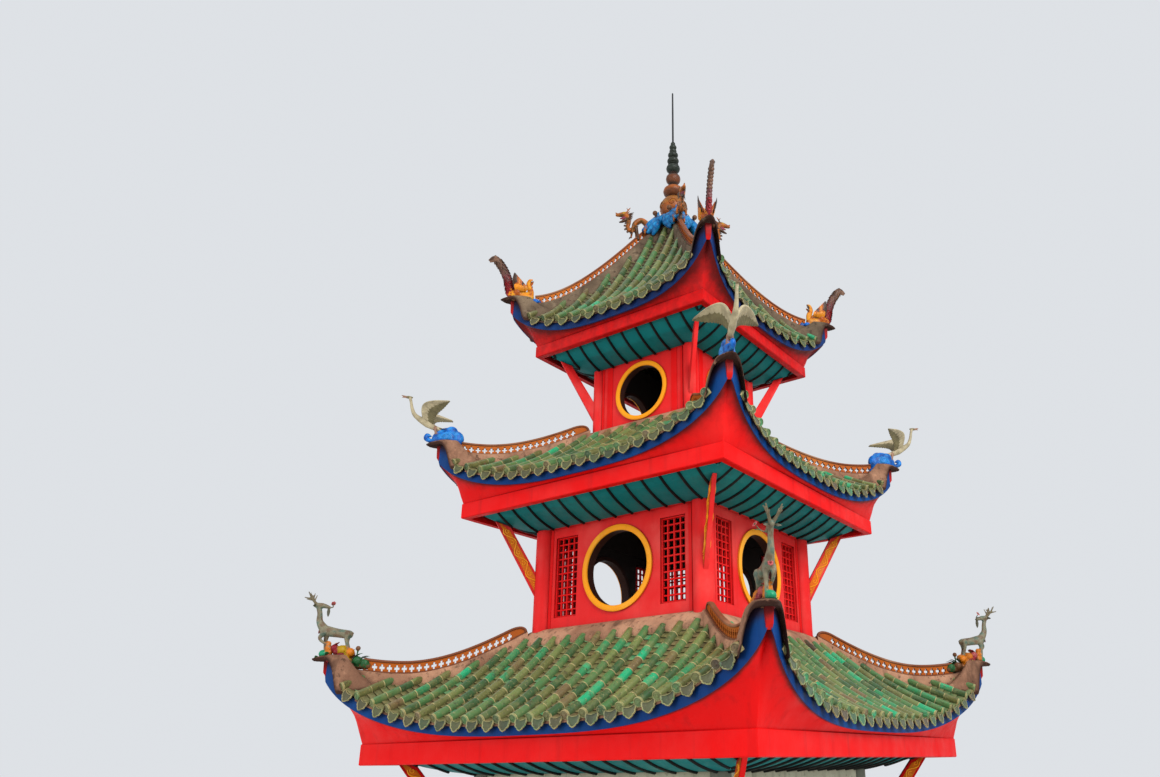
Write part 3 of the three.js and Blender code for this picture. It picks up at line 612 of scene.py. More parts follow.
def side_places(steps):
    """Places along a side, closer together towards the corners."""
    return [math.sin(QUARTER * (2 * i / steps - 1)) for i in range(steps)]


def around(steps, section):
    """A closed band round the four sides; section(t) gives its outline as (distance, height) pairs."""
    rings = []
    for angle in SIDES:
        for t in side_places(steps):
            far, height = np.array(section(t)).T
            rings.append(turned(np.stack([t * far, -far, height], -1), angle))
    return skin(rings, loop=True)


def bend(start, pull, finish, count):
    """Points along a curve from start to finish, pulled towards a third point."""
    return [start * (1 - s) ** 2 + pull * 2 * s * (1 - s) + finish * s ** 2 for s in np.linspace(0, 1, count)]


def lengths_along(points):
    """How far along a line each of its points lies."""
    return np.concatenate([[0], np.cumsum(np.linalg.norm(np.diff(points, axis=0), axis=1))])


def units(rows):
    """Each row scaled to a length of 1."""
    return rows / np.linalg.norm(rows, axis=1)[:, None]


for roof in ROOFS:
    print(roof.name, "tip at", round(float(hip_height(roof, roof.tip)), 2), "m")

# %% [markdown]
# ## The roof deck
# Under the tiles lies a deck of boards and bedding. It is hardly seen, but it closes the roof from below
# and gives the eaves their thickness. It is one band that follows the tiles' surface a little lower, and
# it draws back behind the boards near the corners.

# %% Deck
DECK_TOP, DECK_BOTTOM = 0.06, 0.09
DECK_IN, DECK_IN_AT_CORNER = 0.02, 0.14
DECK_GRIME = 0.4
ROOF_STEPS = 44
ROW_CLEAR = 0.1


def deck(roof):
    def section(t):
        inset = DECK_IN_AT_CORNER if corner_gap(roof, t) < roof.hood + ROW_CLEAR else DECK_IN
        fars = np.linspace(roof.upper + 0.001, tile_edge(roof, t) - inset, 9)
        surface = tile_height(roof, t, fars)
        top = list(zip(fars, surface - DECK_TOP))
        bottom = list(zip(fars, surface - DECK_BOTTOM))
        return top + bottom[::-1]

    stock = Stock(around(ROOF_STEPS, section), (0, 0, DECK_GRIME + roof.grime_and_shade))
    stock.piece(f"{roof.name}_deck", roof.bedding, "cement", f"{roof.name}_tiles")


for roof in ROOFS:
    deck(roof)

# %% [markdown]
# ## One row of tiles
# Tiles are laid in straight rows down the slope, at right angles to the eaves, so near a corner a row
# starts at the hip and not at the wall. Each row's line is found by walking down the surface at a fixed
# place along the eaves. The line knows its own frame at every point: along the slope, across it, and
# out of it. That frame is what every tile in the row is built in.

# %% Row lines
EDGE_TRIES = 30
LINE_POINTS = 60
HIP_COVER = 0.01
TOP_COVER = 0.1
TILE_LAP = 0.01
SHORTEST_ROW = 0.05


def surface_point(roof, across, far):
    return np.stack([across + far * 0, -far, tile_height(roof, across / far, far)], -1)


class RowLine:
    """The line of a tile row on the front side, from the eave upwards."""

    def __init__(self, roof, across):
        self.grime_and_shade = roof.grime_and_shade
        edge = roof.fascia + EAVE_OUT
        for _ in range(EDGE_TRIES):
            edge = tile_edge(roof, across / edge)
        end = max(roof.upper + TOP_COVER, abs(across) + HIP_COVER)
        fars = np.linspace(edge, end, LINE_POINTS)
        self.points = surface_point(roof, across, fars)
        self.side = units(surface_point(roof, across + 0.01, fars) - surface_point(roof, across - 0.01, fars))
        self.uphill = units(np.gradient(self.points, axis=0))
        self.out = np.cross(self.side, self.uphill)
        self.measure = lengths_along(self.points)
        self.length = self.measure[-1] if edge > end else 0

    def at(self, along):
        """Point, side, uphill and outward directions at a distance from the eave."""
        return [
            np.array([np.interp(along, self.measure, values[:, k]) for k in range(3)])
            for values in (self.points, self.side, self.uphill, self.out)
        ]

    def tiles(self, length):
        """Where the tiles of about this length start and end, each lapped over by the next."""
        count = max(1, round(self.length / length))
        step = self.length / count
        kept = count if self.length > SHORTEST_ROW else 0
        return [(i * step, (i + 1) * step + TILE_LAP) for i in range(kept)]


middle_row = RowLine(ROOFS[0], 0.0)
print("roof_1's middle row is", round(middle_row.length, 2), "m long")

# %% [markdown]
# ## Barrel tiles
# The round tiles cover the joints between the pans. Each is a half tube, a little wider at its lower
# end, where a raised lip laps over the tile below. A row is built tile by tile from the eave up, each
# on its own frame, so the rows show the small steps and kinks of tiles laid by hand.

# %% Barrel rows
BARREL = SimpleNamespace(radius=0.058, length=0.25, lift=0.004, lip=0.012, foot=0.06, arc=8, sway=0.003)
BARREL_PROFILE = [(0, 0.98), (0.002, 1.03), (BARREL.lip, 1.03), (BARREL.lip + 0.002, 1.0), (1, 0.96)]
ROW_INSET = 0.12
SEED = 7


def barrel_tile(line, start, end, rng):
    """One half-round tile between two distances along a row, with mortar on its lip."""
    rings, mortar = [], []
    sway = rng.uniform(-BARREL.sway, BARREL.sway)
    for place, swell in BARREL_PROFILE:
        point, side, _, out = line.at(end if place == 1 else start + place)
        point = point + side * sway
        radius = BARREL.radius * swell
        arc = []
        for angle in np.linspace(0, math.pi, BARREL.arc + 1):
            rise = BARREL.lift + radius * math.sin(angle)
            arc.append(point + out * rise + side * radius * math.cos(angle))
        arc.append(point - side * radius - out * BARREL.foot)
        arc.append(point + side * radius - out * BARREL.foot)
        rings.append(arc)
        mortar.append(1.0 if place <= BARREL.lip else 0.0)
    number = rng.random()
    return skin(rings), [(number, smeared, line.grime_and_shade / 2) for smeared in mortar for _ in arc]


def row_places(roof):
    """Where the barrel rows and the gutters between them run along the eaves, clear of the hoods."""
    reach = roof.tip - ROW_INSET
    pitch = 2 * reach / roof.rows
    lines = [i * pitch / 2 for i in range(1 - roof.rows, roof.rows)]
    kept = [place for place in lines if abs(place) < roof.tip - roof.hood - ROW_CLEAR]
    first = lines.index(kept[0]) % 2
    return kept[first::2], kept[1 - first::2], pitch


def barrels(roof):
    rng = np.random.default_rng(SEED)
    stock = Stock()
    for across in row_places(roof)[0]:
        line = RowLine(roof, across)
        for start, end in line.tiles(BARREL.length):
            stock.add(*barrel_tile(line, start, end, rng))
    stock.around(SIDES).piece(f"{roof.name}_barrel_tiles", "tile", "tile_glaze")


for roof in ROOFS:
    barrels(roof)

# %% [markdown]
# ## Pan tiles
# Between two barrel rows lies a gutter of shallow curved pans. They overlap by more than half, so their
# edges show as close ripples. Each visible stretch is a thin curved plate whose lower end stands a
# little proud of the next.

# %% Pan rows
PAN = SimpleNamespace(length=0.11, depth=0.026, thick=0.012, proud=0.014, base=-0.014, points=5)
PAN_NUMBERS = (0.76, 0.27)
PAN_MORTAR, PAN_GRIME_AND_SHADE = 0.45, 0.35


def pan_tile(line, start, end, width, rng):
    """One pan between two distances along a gutter, with mortar on its lower edge."""
    rings = []
    for along, rise in ((start, PAN.proud), (end, 0)):
        point, side, _, out = line.at(along)
        across = np.linspace(-0.5, 0.5, PAN.points)
        dip = PAN.base + rise - PAN.depth * (1 - (2 * across) ** 2)
        top = [point + side * u * width + out * v for u, v in zip(across, dip)]
        rings.append(top + [spot - out * PAN.thick for spot in top[::-1]])
    number = rng.random() * PAN_NUMBERS[1] + PAN_NUMBERS[0]
    mortar = [PAN_MORTAR] * PAN.points + [0] * (3 * PAN.points)
    # The pans get more of the third mark than the barrels: dirt, and painted shade in the gutters.
    return skin(rings), [(number, smeared, line.grime_and_shade + PAN_GRIME_AND_SHADE) for smeared in mortar]


def pans(roof):
    rng = np.random.default_rng(SEED + 1)
    stock = Stock()
    _, gutters, pitch = row_places(roof)
    for across in gutters:
        line = RowLine(roof, across)
        for start, end in line.tiles(PAN.length):
            stock.add(*pan_tile(line, start, end, pitch - BARREL.radius, rng))
    stock.around(SIDES).piece(f"{roof.name}_pan_tiles", "tile", "tile_glaze")


for roof in ROOFS:
    pans(roof)

# %% [markdown]
# ## The eaves' trimming
# At the eave each barrel row ends in a round cap with a raised rim, and each gutter in a drip tile, a
# lobed leaf that hangs down and throws the water clear of the boards. The cap is a small turned
# profile, and the leaf an outline with a raised border.

# %% Caps and drip tiles
CAP_PROFILE = [
    (1.02, -0.01), (1.06, 0.008), (0.9, 0.016), (0.8, 0.008), (0.34, 0.01), (0.26, 0.016), (0, 0.018)
]
DRIP = [
    (0.52, 0.04), (0.57, -0.1), (0.56, -0.26), (0.49, -0.34), (0.5, -0.46), (0.4, -0.58), (0.3, -0.6),
    (0.26, -0.7), (0.13, -0.78), (0, -0.84),
]
DRIP_FOOT = [(-0.25, -0.06), (0, -0.09), (0.25, -0.06)]
DRIP_SIZE = 0.172
DRIP_LEAN = 0.25
DRIP_THICK = 0.016
DRIP_CENTRE = np.array([0, -0.36])
DRIP_RELIEF = [
    (1, 0), (1, DRIP_THICK), (0.86, DRIP_THICK), (0.8, DRIP_THICK - 0.006), (0.3, DRIP_THICK - 0.004),
]
CAP_SIDES = 14
RIM_RINGS = 3
RIM_MARKS, LEAF_MARKS = (0.6, 0.1), (0, 1.1)


def end_cap(line, rng):
    point, side, uphill, out = line.at(0)
    centre = point + out * BARREL.lift
    rings = []
    for share, proud in CAP_PROFILE:
        radius = BARREL.radius * max(share, 0.02)
        middle = centre - uphill * proud
        rings.append([middle + (side * math.cos(a) + out * math.sin(a)) * radius for a in spokes(CAP_SIDES)])
    number = rng.random() * 0.7 + 0.3
    mortar = [0.5 if i < RIM_RINGS else 0 for i in range(len(rings)) for _ in range(CAP_SIDES)]
    return skin(rings), [(number, smeared, line.grime_and_shade / 2) for smeared in mortar]


def drip_tile(line, rng):
    point, side, uphill, out = line.at(0)
    down = np.array([0, 0, 1]) + uphill * DRIP_LEAN
    down = down - side * (down @ side)
    down = -down / np.linalg.norm(down)
    face = np.cross(down, side)
    outline = np.array(DRIP + [(-u, v) for u, v in DRIP[-2::-1]] + DRIP_FOOT)
    rings = []
    for grow, proud in DRIP_RELIEF:
        shape = DRIP_CENTRE + (outline - DRIP_CENTRE) * grow
        origin = point + out * PAN.base + face * proud
        rings.append([origin + (side * u - down * v) * DRIP_SIZE for u, v in shape])
    number = rng.random() * 0.5 + 0.4
    marks = [RIM_MARKS if i < RIM_RINGS else LEAF_MARKS for i in range(len(rings)) for _ in outline]
    return skin(rings), [(number, *pair) for pair in marks]


def trimming(roof):
    rng = np.random.default_rng(SEED + 2)
    stock = Stock()
    rows, gutters, _ = row_places(roof)
    for across in rows:
        stock.add(*end_cap(RowLine(roof, across), rng))
    for across in gutters:
        stock.add(*drip_tile(RowLine(roof, across), rng))
    stock.around(SIDES).piece(f"{roof.name}_eave_tiles", "tile", "tile_glaze")


for roof in ROOFS:
    trimming(roof)

# %% [markdown]
# ## Eave boards, flared boards and bands
# Under the tiles runs a blue board, narrow in the middle of a side and widening to a leaf at each tip,
# where it rises above the tiles under a cement hood. Below it a red board flares down and in to the
# straight red band, concave like the bell of a horn, and draws out to a point between the two leaves. All
# three are sections carried round the four sides. `corner_gap` is how far a place lies from the corner.

# %% Boards under the eaves
BOARD_THICK = 0.05
BOARD_EDGE = 0.006
FLARE_IN = 0.01
FLARE_THICK = 0.03
FLARE_STEPS = 8
FLARE_SOOT_AND_SHADE = 1.3
BAND_THICK = 0.1
BOARD_STEPS = 76
LEAF_POWER = 6
BAND_EDGE = 0.012
HORN_RUN = 0.19
LEAF_RISE = 0.095
LEAF_FLAT = 0.45
STAIN_START = 0.45
STAIN = 1.4


def board_top(roof, t, far):
    return tile_height(roof, t, far) - DECK_BOTTOM


def board_bottom(roof, t):
    far0 = tile_edge(roof, 0) - BOARD_IN
    middle = board_top(roof, 0, far0) - roof.band_high - 0.02
    far = tile_edge(roof, t) - BOARD_IN
    depth = middle + (roof.leaf - middle) * abs(t) ** LEAF_POWER
    return board_top(roof, t, far) - depth + roof.horn * math.exp(-corner_gap(roof, t) / HORN_RUN)


def leaf_top(roof, t, far):
    """The top of the leaf beside a corner, which meets the board's top where the hood ends."""
    gap = corner_gap(roof, t)
    tip = float(hip_height(roof, roof.tip - TIP_NOSE - BOARD_IN)) + LEAF_RISE
    share = np.clip((roof.hood - gap) / (roof.hood * (1 - LEAF_FLAT)), 0, 1)
    low = float(board_top(roof, t, far))
    return low + max(0.0, tip - low) * share * (2 - share)


def eave_board(roof):
    def section(t):
        outer = board_face(roof, t)
        inner = outer - BOARD_THICK
        low = board_bottom(roof, t)
        top_out, top_in = (leaf_top(roof, t, far) + 0.004 for far in (outer, inner))
        middle = low + (top_out - low) * STAIN_START
        return [
            (outer, low + BOARD_EDGE), (outer, middle), (outer, top_out), (inner, top_in), (inner, low),
            (outer - BOARD_EDGE, low),
        ]

    marks = []
    for t in side_places(BOARD_STEPS) * len(SIDES):
        top = STAIN if corner_gap(roof, t) < roof.hood + ROW_CLEAR else roof.grime_and_shade
        marks += [(0, 0, share) for share in (roof.grime_and_shade, roof.grime_and_shade, top, top, roof.grime_and_shade, roof.grime_and_shade)]
    stock = Stock(around(BOARD_STEPS, section), marks)
    stock.piece(f"{roof.name}_eave_boards", "blue", "blue_paint", f"{roof.name}_eave_board")


def flare_pull(t):
    """Where the flare's curve is pulled to, in shares of its way out and up; hollower at the corners."""
    return 0.34 - 0.14 * abs(t) ** 8, 0.56


def band_and_flare(roof):
    def section(t):
        outer = board_face(roof, t) - FLARE_IN
        high = board_bottom(roof, t) + 0.004
        start = np.array([roof.fascia, roof.band_high])
        finish = np.array([outer, high])
        curve = bend(start, start + (finish - start) * flare_pull(t), finish, FLARE_STEPS)
        inside = [spot - (FLARE_THICK, 0) for spot in curve[::-1]]
        inside[-1] = np.array([roof.fascia - BAND_THICK, roof.band_high - FLARE_THICK])
        band = [
            (roof.fascia - BAND_THICK, roof.band_low), (roof.fascia - BAND_EDGE, roof.band_low),
            (roof.fascia, roof.band_low + BAND_EDGE), (roof.fascia, roof.band_high - BAND_EDGE),
        ]
        curve[0] = start - (BAND_EDGE, 0)
        return [tuple(spot) for spot in (*band, *curve, *inside)]

    # The flare darkens towards the blue boards with soot and painted shadow, and its inner face, out of the
    # light, is painted shade.
    rise = [(k / (FLARE_STEPS - 1)) ** roof.soot_and_shade for k in range(FLARE_STEPS)]
    flare_soot_and_shade = [roof.grime_and_shade + (FLARE_SOOT_AND_SHADE - roof.grime_and_shade) * share for share in rise]
    soot_and_shade = [roof.grime_and_shade] * 4 + flare_soot_and_shade + [1] * FLARE_STEPS
    stock = Stock(
        around(BOARD_STEPS, section), [(0, 0, share) for share in soot_and_shade] * (BOARD_STEPS * len(SIDES))
    )
    stock.piece(f"{roof.name}_band", "red", "red_paint", f"{roof.name}_fascia")


for roof in ROOFS:
    eave_board(roof)
    band_and_flare(roof)

# %% [markdown]
# ## Rafter ends at the tips
# At each tip the end of the hip rafter shows as a dark red strip between the two blue leaves. Its foot
# hangs just below the place where the boards meet, over the crease of the flared boards, and its head is
# under the hood. It is a bar that widens a little on its way up the corner.

# %% Hip rafter ends
ROOT2 = math.sqrt(2)
RAFTER_WIDTHS = [(0, 0.07), (0.2, 0.082), (0.5, 0.09), (1, 0.105)]
RAFTER_SHARES = (0, 0.15, 0.3, 0.5, 0.75, 1)
RAFTER_FOOT, RAFTER_HEAD = np.array([0.03, 0.06]), (0.006, 0.01)
RAFTER_PROUD = 0.016
RAFTER_DEEP = 0.13
RAFTER_DIRT_AND_SHADE = (0.6, 0.5)


def corner_profile(roof):
    """The line up a corner of the blue boards, from the rafter end's foot to its head."""
    outer = board_face(roof, 1)
    meeting = np.array([outer, board_bottom(roof, 1)])
    head = np.array([outer, leaf_top(roof, 1, outer)]) + RAFTER_HEAD
    return np.array([meeting - RAFTER_FOOT, *(meeting + (head - meeting) * share for share in RAFTER_SHARES)])


def rafter_ends(roof):
    profile = corner_profile(roof)
    measure = lengths_along(profile)
    share = measure / measure[-1]
    widths = np.interp(share, *zip(*RAFTER_WIDTHS))
    slope = np.gradient(profile, axis=0)
    outward = units(np.stack([slope[:, 1], -slope[:, 0]], 1))
    rings = []
    for (far, height), normal, width in zip(profile, outward, widths):
        ring = []
        for push, side in ((-RAFTER_DEEP, -1), (RAFTER_PROUD, -0.9), (RAFTER_PROUD, 0.9), (-RAFTER_DEEP, 1)):
            ring.append([far * ROOT2 + normal[0] * push, side * width / 2, height + normal[1] * push])
        rings.append(ring)
    # The strip darkens from foot to head, most under the hood: dirt, and painted shade.
    darkening = RAFTER_DIRT_AND_SHADE[0] + RAFTER_DIRT_AND_SHADE[1] * share
    stock = Stock(skin(rings), [(0, 0, value) for value in darkening for _ in ring])
    stock.around(CORNERS).piece(f"{roof.name}_rafter_ends", "red", "red_paint")


for roof in ROOFS:
    rafter_ends(roof)

# %% [markdown]
# ## The cove under the eaves
# The underside of the eaves is a teal cove that leaves the wall level and then curves up behind the red
# band. Black ribs cross it from wall to band, like the rafters of a curved ceiling, and are mitred where
# two sides meet. The cove is one section taken round the tower, and each rib is a tube along the cove's
# own curve, half sunk in it.

# %% Cove and ribs
SOFFIT_THICK = 0.05
COVE_BULGE = (0.04, 0.06)
RIB_RADIUS = 0.022
RIB_HEIGHT = 1.3 * RIB_RADIUS
RIB_SIDES = 8
COVE_STEPS = 16


def cove(roof):
    """The cove's underside as (distance, height) pairs, from the wall out."""
    start = np.array(roof.soffit_start)
    finish = np.array([roof.fascia - BAND_THICK - 0.001, roof.band_high - FLARE_THICK - SOFFIT_THICK])
    pull = np.array([(start[0] + finish[0]) / 2, start[1]]) + COVE_BULGE
    return np.array(bend(start, pull, finish, COVE_STEPS))


def soffit(roof):
    under = cove(roof)
    over = under[::-1] + (0, SOFFIT_THICK)
    stock = Stock(around(1, lambda t: [*under, *over]))
    stock.piece(f"{roof.name}_cove", "teal", "teal_paint", f"{roof.name}_soffit")


def ribs(roof):
    under = cove(roof)
    reach = under[-1][0]
    outline = [(RIB_RADIUS * math.cos(a), RIB_HEIGHT * math.sin(a)) for a in spokes(RIB_SIDES)]
    stock = Stock()
    for i in range(roof.ribs):
        across = reach * (2 * (i + 0.5) / roof.ribs - 1)
        start = max(under[0][0], abs(across) + RIB_RADIUS)
        fars = np.linspace(start, reach, COVE_STEPS)
        heights = np.interp(fars, under[:, 0], under[:, 1])
        if reach - start > SHORTEST_ROW:
            rings = [
                [[across + x, -far, height + z] for x, z in outline] for far, height in zip(fars, heights)
            ]
            stock.add(skin(rings))
    stock.around(SIDES).piece(f"{roof.name}_ribs", "black", "teal_paint")


for roof in ROOFS:
    soffit(roof)
    ribs(roof)

# %% [markdown]
# ## Corner ridges
# Down each corner runs a ridge in three layers. A cement bed covers the ends of the tile rows. On it
# stands an orange band pierced with small crosses, thin enough for the sky to show through, and a
# rounded cap rail closes the top and curls down to the bed at the wall. At the tip the bed widens into a
# hood, an arch of dark cement that caps the two blue leaves. The bed is a section carried along the
# corner, and the hood one carried along the eaves, from one side round the corner to the other.

# %% Ridge beds
BED_HEIGHT = 0.08
BED_DEPTH = 0.25
BED_HALF = 0.085
BED_END = 0.26
BED_STEPS = 30
BED_ROUGH = 0.003
THIN_START, THIN_RUN, TIP_DEPTH = 0.45, 0.3, 0.06
STAIN_BEFORE, STAIN_RUN, BED_STAIN = 0.7, 0.6, 0.8
BED_OUTLINE = [
    (-1.15, -1), (-1.1, -0.3), (-1, 0.4), (-0.8, 0.85), (-0.4, 1), (0.4, 1), (0.8, 0.85), (1, 0.4),
    (1.1, -0.3), (1.15, -1),
]


def ridge_bed(roof):
    start = max(roof.upper, roof.band[0] - 0.04) if roof.storey else roof.upper - 0.05
    rng = np.random.default_rng(SEED + 3)
    fars = np.linspace(start, roof.tip - BED_END, BED_STEPS)
    thinned = np.clip((fars - roof.tip + THIN_START) / THIN_RUN, 0, 1)
    depths = BED_DEPTH - (BED_DEPTH - TIP_DEPTH) * thinned
    rings = []
    for far, depth in zip(fars, depths):
        height = float(hip_height(roof, far))
        ring = []
        for side, z in BED_OUTLINE:
            rise = (BED_HEIGHT if z > 0 else depth) * z
            ring.append([far * ROOT2, side * BED_HALF, height + rise + rng.uniform(-BED_ROUGH, BED_ROUGH)])
        rings.append(ring)
    stain = np.maximum(roof.grime_and_shade, np.clip((fars - roof.tip + STAIN_BEFORE) / STAIN_RUN, 0, 1) * BED_STAIN)
    stock = Stock(skin(rings), [(0, 0, share) for share in stain for _ in BED_OUTLINE])
    stock.around(CORNERS).piece(f"{roof.name}_ridge_beds", roof.bedding, "cement", f"{roof.name}_ridges")


for roof in ROOFS:
    ridge_bed(roof)

# %% Hoods
HOOD_IN = 0.3
HOOD_STEPS = 22
HOOD_THICK = (0.075, -0.025)
HOOD_LIP = (0.098, 0.04)
HOOD_ROUND = 0.16
HOOD_DARKENING = (1, 1.6, 1.6, 1.6, 1.6, 1.2, 0.7, 0.5, 0.5, 0.6, 0.8)


def hood_section(roof, t):
    """The hood across the eave at a place beside the corner, as (distance, height) pairs."""
    gap = corner_gap(roof, t)
    face = board_face(roof, t)
    low = leaf_top(roof, t, face)
    near = math.exp(-((gap / HOOD_ROUND) ** 2))
    thick = HOOD_THICK[0] + HOOD_THICK[1] * near
    lip = HOOD_LIP[0] + HOOD_LIP[1] * near
    back = face - HOOD_IN
    under = float(tile_height(roof, t, back))
    over = under + 0.03 + 0.08 * near
    return [
        (back, under - 0.04), (face - 0.06, low - 0.02), (face - 0.002, low - 0.01),
        (face + lip * 0.85, low - 0.01), (face + lip, low + thick * 0.15), (face + lip, low + thick * 0.5),
        (face + lip * 0.8, low + thick * 0.85), (face + lip * 0.4, low + thick), (face - 0.08, low + thick),
        (back + 0.1, over * 0.65 + (low + thick) * 0.35), (back, over),
    ]


def hood(roof):
    rng = np.random.default_rng(SEED + 5)
    start = 1 - (roof.hood + 0.015) / (roof.tip - TIP_NOSE - BOARD_IN)
    places = start + (1 - start) * np.sin(np.linspace(0, 1, HOOD_STEPS) * QUARTER)
    front = [[(t * far, -far, z) for far, z in hood_section(roof, t)] for t in places]
    right = [[(far, -t * far, z) for far, z in hood_section(roof, t)] for t in places[-2::-1]]
    rings = np.array(front + right)
    rings[:, 3:9, 2] += rng.uniform(-BED_ROUGH, BED_ROUGH, rings[:, 3:9, 2].shape)
    # Each point of the hood's section takes its own darkening: most under the lip and down its front, least
    # on top.
    stock = Stock(skin(rings), [(0, 0, darkening) for darkening in HOOD_DARKENING] * len(rings))
    stock.around(SIDES).piece(f"{roof.name}_hoods", roof.bedding, "cement")


for roof in ROOFS:
    hood(roof)

# %% [markdown]
# The pierced band is a lattice of small squares, front and back, with the squares of each cross left
# out. Wherever a square borders a hole or the outside, a wall closes the gap between front and back, so
# the band is one closed body with real holes.

# %% Pierced bands
BAND_HALF = 0.022
BAND_HEIGHT = 0.152
CELL = 0.104
CELL_LINES = [0, 0.14, 0.37, 0.63, 0.86]
RISE_LINES = [0, 0.18, 0.38, 0.62, 0.82, 1]
CROSS = {(1, 2), (2, 2), (3, 2), (2, 1), (2, 3)}
BAND_SINK = 0.01
HUMP, HUMP_LEAST = 0.16, 0.15
SOLID_START = 0.24


def band_line(roof):
    """Distances along the ridge at the lines that divide the cells, and how many cells there are."""
    fars = np.linspace(roof.band[0], roof.band[1], 200)
    measure = lengths_along(np.stack([fars * ROOT2, hip_height(roof, fars)], 1))
    count = round(measure[-1] / CELL)
    places = [cell + line for cell in range(count) for line in CELL_LINES] + [count]
    return np.interp(np.array(places) * measure[-1] / count, measure, fars), count


def hump(roof, far):
    """The share of the band's height near its upper end, where it rounds off."""
    run = np.clip((far - roof.band[0]) / HUMP, 0, 1)
    return math.sqrt(1 - (1 - run) ** 2) * (1 - HUMP_LEAST) + HUMP_LEAST


def pierced_band(roof):
    fars, count = band_line(roof)
    points = []
    for far in fars:
        foot = float(hip_height(roof, far)) + BED_HEIGHT - BAND_SINK
        for share in RISE_LINES:
            z = foot + BAND_HEIGHT * share * hump(roof, far)
            points += [[far * ROOT2, -BAND_HALF, z], [far * ROOT2, BAND_HALF, z]]
    first = round(SOLID_START / CELL)

    def solid(i, j):
        if not (0 <= i < len(fars) - 1 and 0 <= j < len(CELL_LINES)):
            return False
        cell = i // len(CELL_LINES)
        return cell < first or cell >= count or (i % len(CELL_LINES), j) not in CROSS

    def at(i, j, side):
        return (i * len(RISE_LINES) + j) * 2 + side

    faces = []
    for i in range(len(fars) - 1):
        for j in range(len(CELL_LINES)):
            if not solid(i, j):
                continue
            for side in (0, 1):
                faces.append((at(i, j, side), at(i + 1, j, side), at(i + 1, j + 1, side), at(i, j + 1, side)))
            borders = {
                (i - 1, j): ((i, j), (i, j + 1)), (i + 1, j): ((i + 1, j), (i + 1, j + 1)),
                (i, j - 1): ((i, j), (i + 1, j)), (i, j + 1): ((i, j + 1), (i + 1, j + 1)),
            }
            for beside, (p, q) in borders.items():
                if not solid(*beside):
                    faces.append((at(*p, 0), at(*q, 0), at(*q, 1), at(*p, 1)))
    used = sorted({k for face in faces for k in face})
    place = {k: n for n, k in enumerate(used)}
    stock = Stock((np.array(points)[used], [tuple(place[k] for k in face) for face in faces]))
    stock.around(CORNERS).piece(f"{roof.name}_ridge_bands", "orange", "yellow_paint")


for roof in ROOFS:
    pierced_band(roof)

# %% [markdown]
# The cap rail and a thin foot moulding run along the band. Each is a rounded section on the ridge's
# line, and the cap's line also climbs the hump at the wall.

# %% Cap rails and foot mouldings
CAP_OUTLINE = [
    (-0.034, 0), (-0.04, 0.01), (-0.034, 0.028), (-0.014, 0.036), (0.014, 0.036), (0.034, 0.028),
    (0.04, 0.01), (0.034, 0),
]
CAP_SINK, FOOT_SINK = 0.012, 0.006
CAP_STEPS, CAP_CROWDING = 56, 1.6
FOOT_STEPS = 40
FOOT_OUTLINE = [(-0.044, 0), (-0.044, 0.014), (-0.034, 0.02), (0.034, 0.02), (0.044, 0.014), (0.044, 0)]


def rail(line, outline):
    """An outline of (across, out) points carried along a line of (distance, height) points."""
    line = np.array([(far * ROOT2, height) for far, height in line])
    slope = units(np.gradient(line, axis=0))
    return skin([
        [[x - dz * out, across, z + dx * out] for across, out in outline]
        for (x, z), (dx, dz) in zip(line, slope)
    ])


def rails(roof):
    start, end = roof.band
    top = []
    for far in start + (end - start) * np.linspace(0, 1, CAP_STEPS) ** CAP_CROWDING:
        bed = float(hip_height(roof, far)) + BED_HEIGHT
        top.append((far, bed - CAP_SINK + BAND_HEIGHT * hump(roof, far)))
    fars = np.linspace(start, end, FOOT_STEPS)
    foot = hip_height(roof, fars) + BED_HEIGHT - FOOT_SINK
    stock = Stock(rail(top, CAP_OUTLINE))
    stock.add(rail(list(zip(fars, foot)), FOOT_OUTLINE))
    stock.around(CORNERS).piece(f"{roof.name}_ridge_caps", "brown", "cement")


for roof in ROOFS:
    rails(roof)

# %% [markdown]
# Where a roof meets the wall of the storey above, a cement fillet throws the rain outward. It is a
# hollowed section taken round the wall. The top roof has no wall, and its four ridges meet in a rough
# cement mound instead.

# %% Wall fillets and the apex mound
FILLET_OUT, FILLET_DEEP = 0.15, 0.12
FILLET_STEPS = 7
FILLET_HOLLOW = 0.65
MOUND = [(0.3, 12.22), (0.27, 12.36), (0.235, 12.48), (0.2, 12.58), (0.12, 12.66), (0.02, 12.68)]


def wall_fillet(roof):
    outer = roof.upper + FILLET_OUT
    high = float(hip_height(roof, roof.upper)) + roof.flashing
    low = float(middle_height(roof, outer)) + 0.03
    inner, foot = roof.wall - 0.01, low - FILLET_DEEP
    curve = [(inner, high)]
    for s in np.linspace(0, 1, FILLET_STEPS)[1:]:
        fall = (1 - FILLET_HOLLOW) * s + FILLET_HOLLOW * s * s
        curve.append((roof.wall + (outer - roof.wall) * s, high - (high - low) * fall))
    curve += [(outer, foot), (inner, foot)]
    stock = Stock(around(24, lambda t: curve))
    stock.piece(f"{roof.name}_wall_fillet", "cement", "cement")


def lathe(profile, sides=32):
    """A turned solid about the tower's axis from (radius, height) pairs."""
    return skin(
        [[[radius * math.cos(a), radius * math.sin(a), z] for a in spokes(sides)] for radius, z in profile]
    )


for roof in ROOFS[:2]:
    wall_fillet(roof)
mound = Stock(lathe(MOUND))
mound.piece("apex_mound", "old_cement", "cement")

# %% [markdown]
# ## Round windows
# Each round window is lined with a moulded ring that stands a little proud of the wall and laps over
# the edge of the hole. Only its face is yellow, and the lining behind it, through the wall, is painted
# dark, a painted shade of the inside of the hole.
# Both are outlines turned about the window's own axis. One piece holds the four rings of a storey.
# `STOREYS` holds the measures of the storeys, and `ROUND` the height, radius and rim of their windows.

